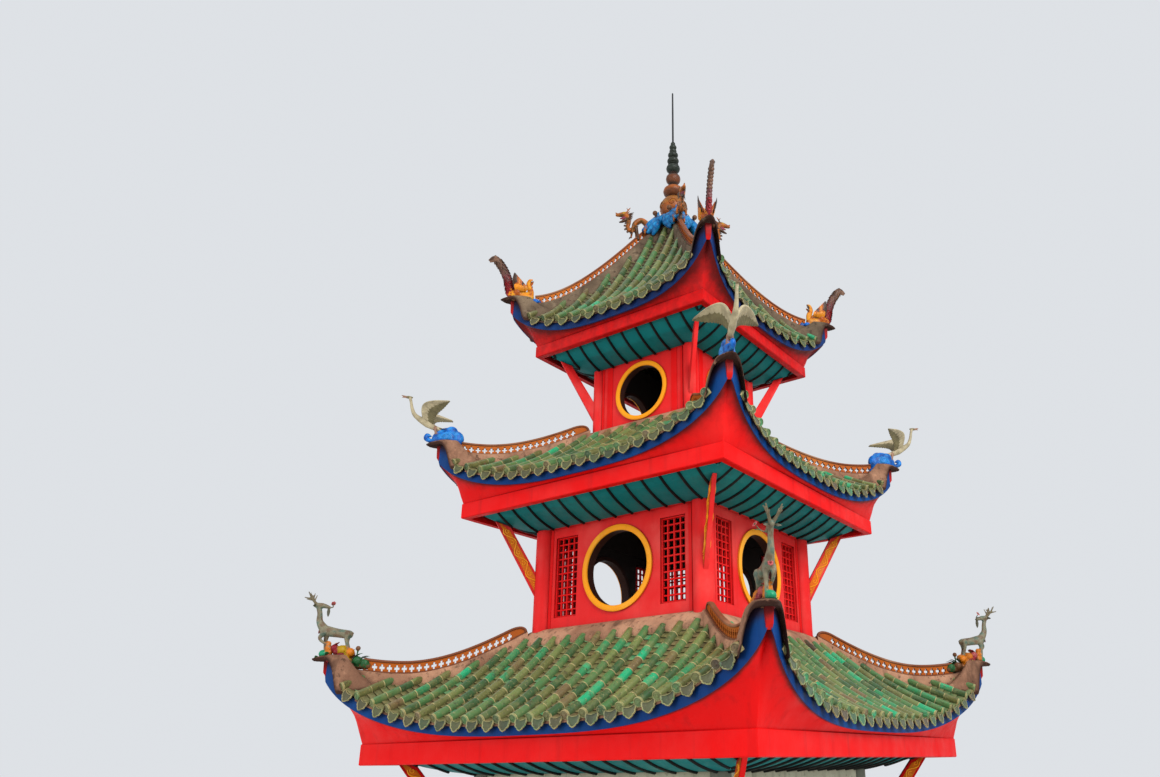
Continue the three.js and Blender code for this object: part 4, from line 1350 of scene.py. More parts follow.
# %% Window rings
STOREYS = {
    "ground": SimpleNamespace(
        floor=0.3, top=3.131, beam_top=4.25, column=1.962, radius=0.125, face=2.0, thick=0.15,
        beam=2.04, beam_thick=0.19, slot="grey_paint", finish="grey",
    ),
    "storey_2": SimpleNamespace(
        floor=4.4, top=6.64, beam_top=7.45, column=1.45, radius=0.15, face=1.5, thick=0.12,
        beam=1.55, beam_thick=0.2, slot="red_paint", finish="red_wall_2",
    ),
    "storey_3": SimpleNamespace(
        floor=7.6, top=9.452, beam_top=9.9, column=0.908, radius=0.1, face=0.95, thick=0.1,
        beam=0.97, beam_thick=0.12, slot="red_paint", finish="red_wall_3",
    ),
}
ROUND = {"storey_2": (5.89, 0.545, 0.08), "storey_3": (8.88, 0.43, 0.07)}
RING_PROUD = 0.035
RING_LAP = 0.004
RING_STEPS = 72
RING_SPLIT = 0.012


def turned_ring(outline, centre):
    """Four closed rings round the windows of a storey, from an outline of (radius, distance) pairs."""
    rings = [
        [[r * math.cos(a), -far, centre + r * math.sin(a)] for r, far in outline] for a in spokes(RING_STEPS)
    ]
    stock = Stock(skin(rings, loop=True))
    return stock.around(SIDES)


def window_rings(name):
    storey = STOREYS[name]
    centre, inner, ring = ROUND[name]
    outer = inner + ring
    front, back, split = storey.face + RING_PROUD, storey.face - storey.thick - 0.01, storey.face + RING_SPLIT
    in_wall = outer - 0.01
    face = [
        (inner, split), (inner, front - 0.02), (inner + 0.004, front - 0.007), (inner + 0.014, front),
        (outer - 0.008, front), (outer + 0.006, front - 0.006), (outer + RING_LAP, front - 0.02),
        (outer + RING_LAP, storey.face + 0.001), (in_wall, storey.face + 0.001), (in_wall, split),
    ]
    lining = [(inner + 0.004, back), (inner + 0.004, split), (in_wall, split), (in_wall, back)]
    nodes = [f"{name}_{side}_window_ring" for side in SIDE_NAMES]
    turned_ring(face, centre).piece(f"{name}_window_rings", "yellow", "yellow_paint", *nodes)
    turned_ring(lining, centre).piece(f"{name}_window_linings", "dark", "yellow_paint")


for name in ROUND:
    window_rings(name)

# %% [markdown]
# ## Columns, beams and braces
# Round columns stand at the corners of each storey, a beam runs round the walls behind the eaves, and a
# plank brace leans out from each corner column to the eaves. The lower two braces are carved: their
# sides are orange, with a raised vine that runs up between red borders. A plank is an outline given
# its thickness, and the vine is a thin tube along a wave, with a curl in every bend.

# %% Boxes, planks and columns
COLUMN_SIDES = 48
BRACE_TIMBERS = {
    "ground": (ROOFS[0], 2.0, 1.906, 2.248, 2.6, 2.81),
    "storey_2": (ROOFS[1], 1.5, 5.506, 5.877, 1.85, 2.01),
    "storey_3": (ROOFS[2], 0.93, 8.44, 8.79, 1.25, 1.38),
}
BRACE_HALF = 0.03
BRACE_CLEAR = 0.004
END_INSET = 1.4
CORNER_BEVEL = 0.006


def box(low, high, bevel=CORNER_BEVEL):
    """A box with its upright edges and its top and bottom edges taken off."""
    (x0, y0, z0), (x1, y1, z1) = low, high
    rings = []
    for z, inset in ((z0, bevel), (z0 + bevel, 0), (z1 - bevel, 0), (z1, bevel)):
        a, b, c, d, e = x0 + inset, y0 + inset, x1 - inset, y1 - inset, bevel
        rings.append([
            (a + e, b, z), (c - e, b, z), (c, b + e, z), (c, d - e, z), (c - e, d, z), (a + e, d, z),
            (a, d - e, z), (a, b + e, z),
        ])
    return skin(rings)


def brace_outline(name, inset=0.0):
    """The plank in the corner plane, from foot to head under the cove, as (distance, height) pairs."""
    roof, foot, low, high, near, far = BRACE_TIMBERS[name]
    under = cove(roof)
    head = [
        (d, float(np.interp(d, under[:, 0], under[:, 1])) - BRACE_CLEAR) for d in np.linspace(far, near, 6)
    ]
    outline = np.array([(foot, low), *head, (foot, high)])
    if inset == 0:
        return outline
    middle = outline.mean(0)
    axis = (outline[1] + outline[-2] - outline[0] - outline[-1]) * (ROOT2, 1)
    axis = axis / np.linalg.norm(axis)
    across = np.array([-axis[1], axis[0]])
    shrunk = []
    for corner in outline:
        offset = (corner - middle) * (ROOT2, 1)
        along, side = offset @ axis, offset @ across
        length, width = max(abs(along) - inset * END_INSET, 0.01), max(abs(side) - inset, 0.01)
        moved = axis * math.copysign(length, along) + across * math.copysign(width, side)
        shrunk.append(middle + moved / (ROOT2, 1))
    return np.array(shrunk)


def plank(outline, half, rim=0.004):
    """A plank in the corner plane, its edges taken off by the rim."""
    rings = []
    middle = outline.mean(0)
    for side, share in ((-half, 0.97), (-half + rim, 1), (half - rim, 1), (half, 0.97)):
        shape = middle + (outline - middle) * share
        rings.append([[d * ROOT2, side, z] for d, z in shape])
    return skin(rings)


def timber_frame(name):
    storey = STOREYS[name]
    column = Stock()
    points, faces = lathe([(storey.radius, storey.floor), (storey.radius, storey.top)], COLUMN_SIDES)
    column.add((points + (storey.column, -storey.column, 0), faces))
    stock = column.around(SIDES)
    inner = storey.beam - storey.beam_thick
    low, high = storey.top - 0.001, storey.beam_top
    stock.add(around(1, lambda t: [(inner, low), (storey.beam, low), (storey.beam, high), (inner, high)]))
    corner = Stock(plank(brace_outline(name), BRACE_HALF))
    braces = corner.around(CORNERS)
    if name == "ground":
        stock.piece("ground_columns", storey.finish, storey.slot, "ground_frame")
        braces.piece("ground_braces", "red", storey.slot)
    else:
        stock.add((np.concatenate(braces.points), braces.faces))
        stock.piece(f"{name}_posts", storey.finish, storey.slot, f"{name}_frame")


for name in STOREYS:
    timber_frame(name)

# %% Carved brace panels
PANEL_INSET = 0.035
PANEL_PROUD = 0.004
PANEL_RIM = 0.002
VINE_RADIUS = 0.009
VINE_SWING = 0.055
VINE_WAVE = 0.34
VINE_SPAN = (0.03, 0.97)
VINE_SIDES, VINE_STEPS = 6, 12
DOME = ((0.7, 0.72), (0.95, 0.3))
CURL = SimpleNamespace(spots=12, turn=0.62, reach=0.04, shrink=14)
CURL_RADII = [VINE_RADIUS * 0.85, VINE_RADIUS * 0.5]
CURL_STEPS = 14
CURL_SHIFT = 0.15


def spiral(curl):
    """Angles and distances from the middle of the spots of a curl that winds inward."""
    return [(k * curl.turn, curl.reach * (1 - k / curl.shrink)) for k in range(curl.spots)]


def smooth_line(points, count):
    """Points along a smooth curve through the given ones."""
    points = np.asarray(points, float)
    padded = np.vstack([2 * points[0] - points[1], points, 2 * points[-1] - points[-2]])
    line = []
    for place in np.linspace(0, len(points) - 1, count):
        i = min(int(place), len(points) - 2)
        u = place - i
        a, b, c, d = padded[i:i + 4]
        bend = (2 * a - 5 * b + 4 * c - d) * u ** 2 + (3 * b - a - 3 * c + d) * u ** 3
        line.append(0.5 * (2 * b + (c - a) * u + bend))
    return np.array(line)


def tube(spots, radii, sides=10, steps=0, flat=1.0):
    """A round bar with domed ends through the spots; flat squeezes it sideways."""
    steps = steps or 4 * (len(spots) - 1) + 1
    line = smooth_line(spots, steps)
    radius = np.interp(np.linspace(0, 1, steps), np.linspace(0, 1, len(radii)), radii)
    ahead = units(np.gradient(line, axis=0))
    places = [(line[0] - ahead[0] * radius[0] * s, ahead[0], radius[0] * c) for s, c in DOME[::-1]]
    places += list(zip(line, ahead, radius))
    places += [(line[-1] + ahead[-1] * radius[-1] * s, ahead[-1], radius[-1] * c) for s, c in DOME]
    rings = []
    for centre, direction, reach in places:
        across = np.array([0.0, 1.0, 0.0]) if abs(direction[1]) < 0.9 else np.array([1.0, 0.0, 0.0])
        out = np.cross(across, direction)
        out /= np.linalg.norm(out)
        across = np.cross(direction, out)
        rings.append(
            [centre + across * reach * flat * math.cos(a) + out * reach * math.sin(a) for a in spokes(sides)]
        )
    return skin(rings)


def carved_panels(name):
    outline = brace_outline(name, PANEL_INSET)
    foot, head = (outline[0] + outline[-1]) / 2, (outline[1] + outline[-2]) / 2
    run = (head - foot) * (ROOT2, 1)
    length = np.linalg.norm(run)
    axis = run / length
    across = np.array([-axis[1], axis[0]])
    origin = foot * (ROOT2, 1)
    fields, vines = Stock(), Stock()
    fields.add(plank(outline, BRACE_HALF + PANEL_PROUD, PANEL_RIM))
    waves = max(2, round(length / VINE_WAVE))
    for side in (-1, 1):
        y = side * (BRACE_HALF + PANEL_PROUD)
        places = np.linspace(*VINE_SPAN, VINE_STEPS * waves)
        line = [
            origin + axis * length * s + across * VINE_SWING * math.sin(s * waves * math.tau) for s in places
        ]
        vines.add(tube([(x, y, z) for x, z in line], [VINE_RADIUS], VINE_SIDES, len(line)))
        for k in range(2 * waves):
            turn = 1 if k % 2 else -1
            aside = across * turn * VINE_SWING * CURL_SHIFT
            centre = origin + axis * length * (k + 0.5) / (2 * waves) + aside
            curl = [
                centre + (axis * math.cos(angle) - across * turn * math.sin(angle)) * reach
                for angle, reach in spiral(CURL)
            ]
            vines.add(tube([(x, y, z) for x, z in curl], CURL_RADII, VINE_SIDES, CURL_STEPS))
    fields.around(CORNERS).piece(f"{name}_brace_fields", "panel", STOREYS[name].slot)
    vines.around(CORNERS).piece(f"{name}_brace_vines", "yellow", STOREYS[name].slot)


for name in ("ground", "storey_2"):
    carved_panels(name)

# %% [markdown]
# ## Walls
# The plain walls of the frame stay as they are and take their paint. The openings get what a builder
# would put in them: the two tall windows beside each round one are closed by a lattice of thin bars in
# a frame, four fields wide and eleven high. Flat strips on the walls mark the posts inside them.

# %% Wall strips and lattices
LATTICE = SimpleNamespace(face=1.5, inner=0.76, outer=1.19, low=5.28, high=6.495, columns=4, rows=11)
BAR_HALF = 0.012
BORDER = 0.028
LATTICE_DEPTH = (0.035, 0.08)
BAR_BEVEL = 0.003
STILE_PROUD, RAIL_PROUD = 0.012, 0.01
STRIP_DEPTH, STRIP_BEVEL = 0.008, 0.002
STRIPS = {"storey_2": [(1.245, 1.30)], "storey_3": [(0.59, 0.70), (0.765, 0.81)]}


def lattice(stock, face, left, right, low, high, columns, rows):
    """A framed lattice in a rectangular opening of a front wall."""
    front, back = -(face - LATTICE_DEPTH[0]), -(face - LATTICE_DEPTH[1])
    for x0, x1 in ((left, left + BORDER), (right - BORDER, right)):
        stock.add(box((x0, front - STILE_PROUD, low), (x1, back, high)))
    for z0, z1 in ((low, low + BORDER), (high - BORDER, high)):
        stock.add(box((left + BORDER, front - RAIL_PROUD, z0), (right - BORDER, back, z1)))
    for i in range(1, columns):
        x = left + (right - left) * i / columns
        foot, head = (x - BAR_HALF, front, low + BORDER), (x + BAR_HALF, back - 0.005, high - BORDER)
        stock.add(box(foot, head, BAR_BEVEL))
    for i in range(1, rows):
        z = low + (high - low) * i / rows
        foot, head = (left + BORDER, front + 0.004, z - BAR_HALF), (right - BORDER, back - 0.01, z + BAR_HALF)
        stock.add(box(foot, head, BAR_BEVEL))


def wall_strips(name):
    """Upright strips on both sides of the middle of a wall."""
    storey = STOREYS[name]
    stock = Stock()
    for x0, x1 in STRIPS[name]:
        for left, right in ((x0, x1), (-x1, -x0)):
            foot = (left, -storey.face - STRIP_DEPTH, storey.floor + 0.002)
            head = (right, -storey.face + 0.01, storey.top - 0.002)
            stock.add(box(foot, head, STRIP_BEVEL))
    stock.around(SIDES).piece(f"{name}_wall_strips", "red", "red_paint")


bars = Stock()
for left, right in ((-LATTICE.outer, -LATTICE.inner), (LATTICE.inner, LATTICE.outer)):
    lattice(bars, LATTICE.face, left, right, LATTICE.low, LATTICE.high, LATTICE.columns, LATTICE.rows)
bars.around(SIDES).piece("storey_2_lattices", "red", "red_paint")
for name in STRIPS:
    wall_strips(name)

# %% [markdown]
# ## The ground storey
# The ground storey is plastered. Its doorway has a timber frame and sill, its windows the same lattices
# as upstairs, and over the door hangs a board with a moulded border, left blank. The plinth is laid in
# two courses of dressed blocks round a core, each block a little out of line with the next.

# %% Door, ground windows, board and plinth
GROUND_FACE = STOREYS["ground"].face
DOOR_HALF, DOOR_TOP, JAMB = 0.55, 2.45, 0.07
SILL_LOW, SILL_HIGH = 0.301, 0.36
DOOR_FRONT, DOOR_BACK = -GROUND_FACE - 0.02, -GROUND_FACE + 0.17
WINDOW_HALF, WINDOW_LOW, WINDOW_HIGH = 0.45, 1.3, 2.4
WINDOW_COLUMNS, WINDOW_ROWS = 6, 7
BOARD_HALF, BOARD_LOW, BOARD_HIGH = 0.625, 2.58, 3.0
FIELD_INSET, FIELD_PROUD = 0.03, 0.04
MOULDING, MOULDING_PROUD, MOULDING_BEVEL = 0.05, 0.06, 0.012
PLINTH_HALF, PLINTH_HEIGHT, COURSES, BLOCKS = 2.21, 0.3, 2, 6
BLOCK_DEPTH = 0.3
BLOCK_JOINT, BLOCK_BEVEL = 0.003, 0.012
COURSE_SHIFT, CUT_WANDER, FACE_WANDER = 0.3, 0.03, 0.004


def door_frame():
    clear = DOOR_HALF - JAMB
    stock = Stock()
    for left, right in ((-DOOR_HALF, -clear), (clear, DOOR_HALF)):
        stock.add(box((left, DOOR_FRONT, SILL_LOW), (right, DOOR_BACK, DOOR_TOP)))
    for low, high in ((DOOR_TOP - JAMB, DOOR_TOP), (SILL_LOW, SILL_HIGH)):
        stock.add(box((-clear, DOOR_FRONT, low), (clear, DOOR_BACK, high)))
    stock.piece("door_frame", "red", "red_paint")


def name_board():
    back, front = -GROUND_FACE - 0.001, -GROUND_FACE - MOULDING_PROUD
    across, low, high = BOARD_HALF - FIELD_INSET, BOARD_LOW + FIELD_INSET, BOARD_HIGH - FIELD_INSET
    field, border = Stock(), Stock()
    field.add(box((-across, -GROUND_FACE - FIELD_PROUD, low), (across, back, high)))
    field.piece("name_board_field", "red", "board_paint", "name_board")
    inner_low, inner_high, inner = BOARD_LOW + MOULDING, BOARD_HIGH - MOULDING, BOARD_HALF - MOULDING
    for z0, z1 in ((BOARD_LOW, inner_low), (inner_high, BOARD_HIGH)):
        border.add(box((-BOARD_HALF, front, z0), (BOARD_HALF, back, z1), MOULDING_BEVEL))
    for x0, x1 in ((-BOARD_HALF, -inner), (inner, BOARD_HALF)):
        border.add(box((x0, front, inner_low), (x1, back, inner_high), MOULDING_BEVEL))
    border.piece("name_board_border", "orange", "board_paint")


def plinth():
    rng = np.random.default_rng(SEED + 4)
    side = Stock()
    rise = PLINTH_HEIGHT / COURSES
    front, back = -PLINTH_HALF, -PLINTH_HALF + BLOCK_DEPTH
    length = 2 * PLINTH_HALF - BLOCK_DEPTH
    for course in range(COURSES):
        cuts = -PLINTH_HALF + length * np.arange(BLOCKS + 1) / BLOCKS
        cuts[1:-1] += COURSE_SHIFT * course * length / BLOCKS
        cuts[1:-1] += rng.uniform(-CUT_WANDER, CUT_WANDER, BLOCKS - 1)
        for x0, x1 in zip(cuts, cuts[1:]):
            low = (x0 + BLOCK_JOINT, front + rng.uniform(0, FACE_WANDER), course * rise)
            high = (x1 - BLOCK_JOINT, back, (course + 1) * rise - BLOCK_JOINT)
            side.add(box(low, high, BLOCK_BEVEL))
    whole = side.around(SIDES)
    core = PLINTH_HALF - BLOCK_DEPTH + 0.01
    whole.add(box((-core, -core, 0.001), (core, core, PLINTH_HEIGHT - 0.001)))
    whole.piece("plinth_blocks", "stone", "stone", "plinth")


door_frame()
grille = Stock()
lattice(grille, GROUND_FACE, -WINDOW_HALF, WINDOW_HALF, WINDOW_LOW, WINDOW_HIGH, WINDOW_COLUMNS, WINDOW_ROWS)
grille.around(SIDES[1:]).piece("ground_lattices", "red", "red_paint")
name_board()
plinth()

# %% [markdown]
# ## Inside
# Through the round windows one looks up at the underside of the floor above, carried by dark joists,
# and in the top storey at the rafters of the pyramid roof. Both are plain squared timbers.

# %% Joists and rafters
JOISTS = {"ground": (4.24, 1.84, 7), "storey_2": (7.44, 1.34, 6)}
JOIST_HALF, JOIST_DEPTH = 0.05, 0.14
RAFTER_PLACES = (-0.6, -0.2, 0.2, 0.6)
RAFTER_RUN = (0.98, 0.2)
RAFTER_HALF, RAFTER_HEIGHT = 0.03, 0.09


def joists(name):
    top, reach, count = JOISTS[name]
    stock = Stock()
    for i in range(count):
        x = reach * (2 * (i + 0.5) / count - 1)
        stock.add(box((x - JOIST_HALF, -reach, top - JOIST_DEPTH), (x + JOIST_HALF, reach, top)))
    stock.piece(f"{name}_joists", "timber", "cement")


def rafters():
    """Timbers close under the deck of the top roof."""
    roof = ROOFS[2]
    stock = Stock()
    for t in RAFTER_PLACES:
        rings = []
        for far in np.linspace(*RAFTER_RUN, 9):
            top = float(tile_height(roof, t, far)) - DECK_BOTTOM - 0.002
            low, left, right = top - RAFTER_HEIGHT, t * far - RAFTER_HALF, t * far + RAFTER_HALF
            rings.append([(left, -far, low), (right, -far, low), (right, -far, top), (left, -far, top)])
        stock.add(skin(rings))
    stock.around(SIDES).piece("roof_3_rafters", "timber", "cement")


for name in JOISTS:
    joists(name)
rafters()

# %% [markdown]
# ## Modelling the figures
# The animals on the ridges are moulded by hand, so their limbs melt into each other. The same can be
# had from simple parts: round bars and balls are laid through each other, and a voxel remesh draws one
# skin over them all, which is then smoothed and thinned out. Feathers, petals and leaves are too thin
# for that and stay crisp blades. A figure is built in the corner plane, where a spot is given as
# (distance, side, height): the distance is measured square to the walls, as everywhere here, and `spot`
# stretches it along the diagonal. Each point of the skin takes the colour of the part it came from, and
# a sum of three waves through space can change it in patches.

# %% The modelling class
VOXEL = 0.009
KEPT_FACES = 0.36
WING_STEPS = 61
PATCH_WAVES = np.array([[52, 31, 12], [-23, 57, 28], [14, -36, 61]])
PATCH_LIMIT = 1.05
WING_CHORD = [0.0, 0.04, 0.15, 0.4, 0.7, 0.9, 1.0]
BLADE_PROFILE = [(0.0, 0.35), (0.18, 0.8), (0.45, 1.0), (0.75, 0.75), (0.93, 0.36), (1.0, 0.08)]
PETAL = SimpleNamespace(start=0.15, lift=0.25, width=0.95, thick=0.3, bow=0.12)
HEART = SimpleNamespace(lift=0.2, size=0.3)
WING_PLEAT = SimpleNamespace(reach=0.06, front=0.7, least=0.12, swell=0.25)
BLADE_OUTLINE = [(-1, 0), (-0.45, 0.5), (0.45, 0.5), (1, 0), (0.45, -0.5), (-0.45, -0.5)]
LIMB_SIDES = 12


def spot(far, side, height):
    return np.array([far * ROOT2, side, height])


def mirrored(pair):
    """The sides on which a part is made."""
    return (1, -1) if pair else (1,)


def blade_shape(root, tip, width, thick, normal, bow=0.0):
    """A thin pointed leaf from root to tip, lens-shaped in section and bowed along its normal."""
    root, tip = np.asarray(root, float), np.asarray(tip, float)
    ahead = (tip - root) / np.linalg.norm(tip - root)
    across = np.cross(normal, ahead)
    across /= np.linalg.norm(across)
    out = np.cross(ahead, across)
    rings = []
    for place, share in BLADE_PROFILE:
        centre = root + (tip - root) * place + out * bow * 4 * place * (1 - place)
        half = width / 2 * share
        rings.append([centre + across * half * u + out * thick * v * share for u, v in BLADE_OUTLINE])
    return skin(rings)


def ball_shape(centre, size, sides=14, rows=9):
    """A ball about a spot, stretched to three half sizes: outward, sideways and up."""
    rings = []
    for k in range(rows):
        polar = math.pi * (k + 0.5) / rows
        out, up = math.sin(polar), math.cos(polar)
        rings.append(
            [centre + np.array(size) * (out * math.cos(a), out * math.sin(a), up) for a in spokes(sides)]
        )
    return skin(rings)


class Model:
    """A figure in the making: soft parts that melt together, and crisp blades set on them."""

    def __init__(self):
        self.soft, self.crisp = [], []

    def limb(self, paint, spots, radii=None, pair=False, flat=1.0):
        """A round bar; each spot has its radius as a fourth number, unless the radii are given."""
        radii = radii or [radius for *_, radius in spots]
        for side in mirrored(pair):
            points = [spot(far, across * side, height) for far, across, height, *_ in spots]
            self.soft.append((tube(points, radii, LIMB_SIDES, flat=flat), paint))

    def ball(self, place, size, paint, pair=False):
        for side in mirrored(pair):
            self.soft.append((ball_shape(spot(place[0], place[1] * side, place[2]), size), paint))

    def blade(self, root, tip, width, paint, pair=False, normal=(0, 1, 0), thick=0.01, bow=0.0):
        for side in mirrored(pair):
            ends = [spot(far, across * side, height) for far, across, height in (root, tip)]
            facing = (normal[0], normal[1] * side, normal[2])
            self.crisp.append((blade_shape(*ends, width, thick, facing, bow), paint))

    def rosette(self, centre, facing, radius, petals, paint, heart):
        """A flower facing a direction: petals round a small ball, all in shares of its radius."""
        middle, facing = spot(*centre), np.asarray(facing, float)
        facing = facing / np.linalg.norm(facing)
        first = np.cross(facing, (0.3, 0.2, 1.0))
        first /= np.linalg.norm(first)
        second = np.cross(facing, first)
        for angle in spokes(petals):
            ray = first * math.cos(angle) + second * math.sin(angle)
            root, tip = middle + ray * radius * PETAL.start, middle + (ray + facing * PETAL.lift) * radius
            width, thick, bow = radius * PETAL.width, radius * PETAL.thick, radius * PETAL.bow
            self.crisp.append((blade_shape(root, tip, width, thick, facing, bow), paint))
        centre, size = middle + facing * radius * HEART.lift, (radius * HEART.size,) * 3
        self.crisp.append((ball_shape(centre, size, 10, 6), heart))

    def wings(self, arm, back, paint, feathers, thick=0.016):
        """A pair of wings: a thin skin from the arm to the trailing edge, pleated into feathers."""
        front, rear = smooth_line(arm, WING_STEPS), smooth_line(back, WING_STEPS)
        for side in (1, -1):
            fore = np.array([spot(far, across * side, height) for far, across, height in front])
            aft = np.array([spot(far, across * side, height) for far, across, height in rear])
            span = np.gradient(fore, axis=0)
            rings = []
            for i in range(WING_STEPS):
                chord = aft[i] - fore[i]
                normal = np.cross(chord, span[i])
                normal /= np.linalg.norm(normal)
                pleat = abs(math.sin(math.pi * feathers * i / (WING_STEPS - 1)))
                upper, lower = [], []
                for u in WING_CHORD:
                    place = fore[i] + chord * u * (1 + WING_PLEAT.reach * pleat)
                    bulge = WING_PLEAT.front * math.sqrt(1 - u) + WING_PLEAT.swell * pleat * u
                    swell = thick * (bulge + WING_PLEAT.least)
                    upper.append(place + normal * swell)
                    lower.append(place - normal * swell)
                rings.append(upper + lower[::-1])
            self.crisp.append((skin(rings), paint))

    def melted(self):
        """One skin over the soft parts, and the colour of each of its points."""
        stock, paints = Stock(), []
        for shape, paint in self.soft:
            stock.add(shape)
            paints.extend([paint] * len(shape[0]))
        points = np.concatenate(stock.points)
        raw = mesh_of(points, stock.faces)
        lump = bpy.data.objects.new("raw", raw)
        bpy.context.scene.collection.objects.link(lump)
        remesh = lump.modifiers.new("remesh", "REMESH")
        remesh.mode = "VOXEL"
        remesh.voxel_size = VOXEL
        smooth = lump.modifiers.new("smooth", "SMOOTH")
        smooth.factor, smooth.iterations = 0.5, 2
        lump.modifiers.new("thin_out", "DECIMATE").ratio = KEPT_FACES
        skinned = bpy.data.meshes.new_from_object(lump.evaluated_get(bpy.context.evaluated_depsgraph_get()))
        bpy.data.objects.remove(lump)
        bpy.data.meshes.remove(raw)
        tree = kdtree.KDTree(len(points))
        for i, point in enumerate(points):
            tree.insert(point, i)
        tree.balance()
        places = [vertex.co.copy() for vertex in skinned.vertices]
        colours = [paints[tree.find(place)[1]] for place in places]
        faces = [tuple(face.vertices) for face in skinned.polygons]
        bpy.data.meshes.remove(skinned)
        return (np.array(places), faces), colours

    def cast(self, patches):
        """The whole figure and its colours, of which those in patches change from place to place."""
        shape, colours = self.melted()
        waves = np.sin(shape[0] @ PATCH_WAVES.T + (0, 1, 2)).sum(1)
        for i, wave in enumerate(waves):
            if colours[i] in patches and abs(wave) > PATCH_LIMIT:
                colours[i] = patches[colours[i]][wave > 0]
        stock = Stock(shape)
        for shape, paint in self.crisp:
            stock.add(shape)
            colours += [paint] * len(shape[0])
        return stock, colours

    def perch(self, kind, slot, patches):
        """Sets a copy of the figure on each corner."""
        stock, colours = self.cast(patches)
        for corner, angle in zip(CORNER_NAMES, CORNERS):
            made = stock.around([angle]).piece(f"{kind}_on_{corner}", "figure", slot, f"{kind}_{corner}")
            put_colours(made.data, "paint", colours)


print("modelling with voxels of", VOXEL * 1000, "mm")

# %% [markdown]
# ## Deer
# A deer stands on a heap of fruit and flowers at each tip of the lowest roof. It walks outward and turns
# its head back to the tower, with a sprig in its mouth, and one foreleg is raised. Its coat is a worn
# grey green, and the heap is orange, yellow, green and red.

# %% Deer
COAT, COAT_DARK, HORN = colour(130, 124, 100), colour(88, 86, 68), colour(120, 108, 82)
COAT_PATCHES = {COAT: (colour(118, 98, 76), colour(94, 112, 96))}
ORANGE, YELLOW, LEAF = colour(206, 116, 16), colour(190, 150, 12), colour(44, 104, 58)
BERRY, JADE, EARTH, ROSE = colour(140, 22, 36), colour(24, 158, 110), colour(112, 72, 44), colour(186, 84, 84)
DEER_HEAP = [
    (3.2, 0.0, 4.63, 0.07, LEAF), (3.27, 0.04, 4.66, 0.07, LEAF), (3.28, -0.04, 4.65, 0.065, EARTH),
    (3.35, 0.03, 4.78, 0.065, ORANGE), (3.35, -0.04, 4.76, 0.065, ORANGE), (3.4, 0.04, 4.69, 0.075, YELLOW),
    (3.4, -0.04, 4.69, 0.075, ORANGE), (3.46, 0.0, 4.7, 0.08, YELLOW), (3.475, 0.03, 4.78, 0.055, BERRY),
    (3.47, -0.04, 4.77, 0.055, BERRY), (3.54, 0.03, 4.69, 0.06, BERRY), (3.535, -0.03, 4.7, 0.06, EARTH),
    (3.56, 0.0, 4.775, 0.058, ORANGE), (3.565, 0.0, 4.84, 0.052, ORANGE), (3.57, 0.0, 4.9, 0.042, ORANGE),
    (3.61, 0.012, 4.76, 0.056, JADE), (3.43, 0.035, 4.81, 0.072, YELLOW), (3.43, -0.035, 4.8, 0.07, ORANGE),
    (3.5, 0.03, 4.84, 0.055, BERRY), (3.505, -0.032, 4.83, 0.052, ROSE),
]
BACK_LEAVES = [
    (3.15, 0.02, 4.72), (3.17, -0.03, 4.74), (3.22, 0.05, 4.77), (3.24, -0.04, 4.78), (3.3, 0.03, 4.83)
]
HEAP_LEAVES = [(3.46, 0.05, 4.84), (3.44, -0.04, 4.84), (3.55, 0.06, 4.78), (3.65, 0.04, 4.73)]


